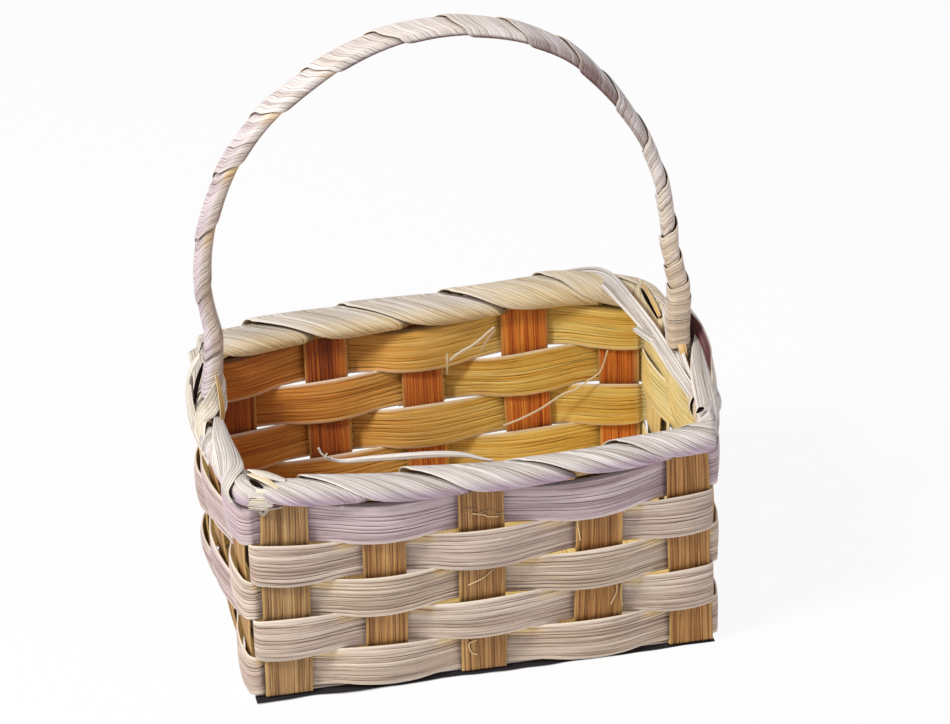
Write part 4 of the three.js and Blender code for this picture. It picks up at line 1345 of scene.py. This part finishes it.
wall_fibres = [
    fibre(113, 0.8, [(82, 63, 77), (78.5, 62.5, 67.5), (73.9, 62, 64.3), (67, 62, 59.8), (61, 62, 58),
                     (51, 62, 52.2), (41.7, 62, 48.4), (33.8, 62, 46)], 0.9),
    fibre(114, 0.9, [(10.2, 63, 80.8), (15.6, 62, 85.2), (22.4, 62, 88.8), (31.2, 62, 96)], 0.9),
    fibre(115, 0.7, [(25, 62, 85), (27.8, 61.5, 90.5), (31.6, 62, 94.5)], 0.9),
    fibre(116, 0.8, [(9.9, 63, 85), (9.5, 62, 80), (9.6, 63.5, 74.5)], 1.0),
]
add_piece("loose_wall_fibres", wall_fibres, "rim", "rim_splint")

# Splits and torn fibres of the stakes, each with its width, and frays of the top weaver
SPLITS = [
    ([(-9, 86), (-5.3, 86), (-2.5, 83.6), (2.6, 84.4), (5, 82), (8.6, 82.5)], 0.6),
    ([(-6, 83.5), (-1.0, 82.2), (1, 81), (5.4, 80.4)], 0.4),
    ([(2.8, 53.7), (-1.4, 49.9), (-7.9, 46.9)], 0.6),
    ([(-4.7, 17.5), (-7.8, 16), (-7.1, 11.5), (-4.5, 9.5)], 0.6),
    ([(44.5, 76), (39.5, 73.3), (40.4, 62)], 0.8),
    ([(54.6, 40.8), (56.2, 34), (53.5, 26.7)], 0.6),
    ([(59, 40), (57.6, 33), (58.3, 25)], 0.5),
]
FRAYS = [
    [(-61, 92.2), (-54, 93.4), (-46, 92.6), (-38, 92.4), (-31, 93)],
    [(-57, 93.6), (-53.5, 94.8), (-50, 93.4)],
    [(-37, 91.6), (-34.6, 90.4), (-33, 92)],
    [(-98.6, 98.5), (-96.5, 94), (-93, 92.4)],
    [(-94, 93), (-92, 90.6), (-90, 93)],
]
stake_fibres = [
    band(131 + number, front_knots((0, -1, 0), width, places),
         thickness=0.5, groove_count=1, groove_depth=0.02, tone=0)
    for number, (places, width) in enumerate(SPLITS)
]
add_piece("split_stake_fibres", stake_fibres, "handle", "stake_splint")
weaver_frays = [
    band(151 + number, front_knots((0, -1, 0.3), 1.2, places),
         thickness=0.7, groove_count=1, groove_depth=0.03, tone=0.1)
    for number, places in enumerate(FRAYS)
]
add_piece("weaver_frays", weaver_frays, "rim", "weaver_splint")

# The lapped end of the top weaver, inside the right end wall
LAP_OUTWARD = -1.2
LAP_HEIGHT = 82
lap_places = [on_wall(along_wall(RIGHT, y), LAP_OUTWARD, LAP_HEIGHT) for y in (60, 35, 5, -30)]
lap_end = band(171, even_knots((1, 0, 0), STAKE_WIDTH, lap_places), groove_count=8, ragged=0.3)
add_piece("weaver_lap_end", [lap_end], "weaver", "weaver_splint")

# Ochre strips at the feet of the handle and at the back right corner
foot_strips = [
    band(161, free_knots((0.4, -0.9, 0.1), (-101, -6, 127, 1.0), (-99.8, -8, 118, 2.2),
                         (-99.4, -9, 108, 2.4), (-101.5, -9, 100, 1)), groove_count=2),
    band(162, free_knots((0, -1, 0.2), (99, -4, 116, 3.5), (99.8, -7.6, 110.5, 3.5),
                         (101, -8.6, 103, 0.8)), groove_count=2),
    band(163, rim_knots(RIGHT, (59, 1.9, 2.4, 1.4), (52, 1.97, 2.9, 1.7), (43, 2.06, 2.8, 1.7),
                        (33, 2.2, 2.0, 1.2)), groove_count=2),
]
add_piece("foot_strips", foot_strips, "handle", "handle_strip")


# Stage: a white floor with a painted contact shadow. The dark line of that painted shadow reaches
# out by mm, and its places are in metres
FLOOR_HALF = 6.0
CONTACT_REACH = (2.2, 5.2)
CONTACT_NOISE = (0.35, 0.65)
CONTACT_SCALE = 22.0
CONTACT_RIGHT = (0.02, 0.085, 1.0, 0.3)
CONTACT_FRONT = -0.061
CONTACT_PAST_END = 0.2
CONTACT_LEAST = 0.05
CONTACT_EDGE = (0.75, 1.1)
WHITE_SHARE = 0.92
PLAIN_FLOOR = (0.85, 0.85, 0.85, 1)
CONTACT_SHADOW_COLOUR = (0.03, 0.027, 0.03, 1)
WHITE = (1, 1, 1, 1)


def floor_material():
    """White to the camera outside the basket, with a painted shadow, nearly black, close to its foot
    at the front.
    """
    material = bpy.data.materials.new("white_floor")
    nodes = Nodes(material)
    nodes.tree.nodes.remove(nodes.tree.nodes["Principled BSDF"])
    rays = nodes.add("LightPath", {}).outputs
    seen = nodes.maths("ADD", rays["Is Camera Ray"], rays["Is Glossy Ray"])
    seen = nodes.maths("ADD", seen, rays["Is Transmission Ray"], clamp=True)
    x, y, _ = nodes.place()

    def past(coordinate, half):
        """How many mm a place lies past the wall."""
        distance = nodes.maths("DIVIDE", nodes.maths("ABSOLUTE", coordinate), MM)
        return nodes.maths("MAXIMUM", nodes.maths("SUBTRACT", distance, half), 0.0)

    past_end = past(x, WALL_LENGTH / 2)
    away = nodes.maths("MAXIMUM", past_end, past(y, WALL_WIDTH / 2))
    glowing = nodes.maths("MULTIPLY", nodes.maths("GREATER_THAN", away, 0.0), WHITE_SHARE)
    where = nodes.add("TexCoord", {}).outputs["Object"]
    noise = nodes.add("TexNoise", {"Vector": where, "Scale": CONTACT_SCALE, "Detail": 2.0})
    reach = nodes.spread(noise.outputs["Fac"], *CONTACT_NOISE, *CONTACT_REACH)
    reach = nodes.maths("MULTIPLY", reach, nodes.spread(x, *CONTACT_RIGHT))
    in_front = nodes.maths("LESS_THAN", y, CONTACT_FRONT)
    between_ends = nodes.maths("LESS_THAN", past_end, CONTACT_PAST_END)
    reach = nodes.maths("MULTIPLY", reach, nodes.maths("MULTIPLY", in_front, between_ends))
    away = nodes.maths("ADD", away, nodes.maths("SUBTRACT", 1.0, in_front))
    share = nodes.maths("DIVIDE", away, nodes.maths("MAXIMUM", reach, CONTACT_LEAST))
    plain = nodes.add("BsdfDiffuse", {"Color": PLAIN_FLOOR}).outputs[0]
    # The painted contact shadow near the foot
    dark = nodes.add("BsdfDiffuse", {"Color": CONTACT_SHADOW_COLOUR}).outputs[0]
    glow = nodes.add("Emission", {"Color": WHITE, "Strength": 1.0}).outputs[0]

    def mixed(factor, first, second):
        return nodes.add("MixShader", {0: factor, 1: first, 2: second}).outputs[0]

    shown = mixed(nodes.spread(share, *CONTACT_EDGE), dark, mixed(glowing, plain, glow))
    nodes.feed(nodes.tree.nodes["Material Output"].inputs["Surface"], mixed(seen, plain, shown))
    return material


floor_mesh = bpy.data.meshes.new("floor")
floor_corners = [(x * FLOOR_HALF, y * FLOOR_HALF, 0) for x, y in ((-1, -1), (1, -1), (1, 1), (-1, 1))]
floor_mesh.from_pydata(floor_corners, [], [(0, 1, 2, 3)])
floor_mesh.materials.append(floor_material())
floor = bpy.data.objects.new("floor", floor_mesh)
bpy.context.scene.collection.objects.link(floor)

# Light
WORLD_LIGHT = 0.42
WORLD_TINT = (0.93, 0.87, 1.0, 1)
AIM = (0, 0, 0.08)

world = bpy.data.worlds.new("studio")
bpy.context.scene.world = world
sky = Nodes(world)
rays = sky.add("LightPath", {}).outputs
is_seen = sky.maths("ADD", rays["Is Camera Ray"], rays["Is Glossy Ray"], clamp=True)
background = sky.tree.nodes["Background"]
sky.feed(background.inputs["Strength"], sky.spread(is_seen, 0.0, 1.0, WORLD_LIGHT, 1.0))
sky.feed(background.inputs["Color"], sky.mix(is_seen, WORLD_TINT, WHITE))


def area_light(name, place, size, power_watts, colour):
    data = bpy.data.lights.new(name, "AREA")
    data.energy = power_watts
    data.size = size
    data.color = colour
    lamp = bpy.data.objects.new(name, data)
    lamp.location = place
    lamp.rotation_euler = (Vector(AIM) - Vector(place)).to_track_quat("-Z", "Y").to_euler()
    bpy.context.scene.collection.objects.link(lamp)


area_light("key_light", (-1.25, -0.6, 1.55), 0.4, 36, (1, 0.98, 0.93))
area_light("fill_light", (1.0, -1.6, 0.8), 1.2, 5, (0.95, 0.92, 1))

# Camera: the view of the photograph
PHOTO_WIDTH = 950
SENSOR = 36
FOCAL_PIXELS = 4636
CAMERA_DISTANCE = 2.0
AZIMUTH = math.radians(-10.3)
ELEVATION = math.radians(28.2)
ROLL = math.radians(-1.9)
AIM_HEIGHT = 46.5
AIM_RIGHT = 10.6
AIM_UP = 59.9


def set_camera():
    back = Vector((math.sin(AZIMUTH) * math.cos(ELEVATION), -math.cos(AZIMUTH) * math.cos(ELEVATION),
                   math.sin(ELEVATION)))
    level_right = Vector((math.cos(AZIMUTH), math.sin(AZIMUTH), 0))
    level_up = back.cross(level_right)
    right = math.cos(ROLL) * level_right + math.sin(ROLL) * level_up
    up = -math.sin(ROLL) * level_right + math.cos(ROLL) * level_up
    aim = Vector((0, 0, AIM_HEIGHT)) + AIM_RIGHT * level_right + AIM_UP * level_up
    data = bpy.data.cameras.new("photo_camera")
    data.sensor_width = SENSOR
    data.lens = FOCAL_PIXELS * SENSOR / PHOTO_WIDTH
    camera = bpy.data.objects.new("photo_camera", data)
    turned = Matrix((right, up, back)).transposed().to_4x4()
    turned.translation = aim * MM + back * CAMERA_DISTANCE
    camera.matrix_world = turned
    bpy.context.scene.collection.objects.link(camera)
    bpy.context.scene.camera = camera


set_camera()
bpy.context.scene.view_settings.view_transform = "Standard"
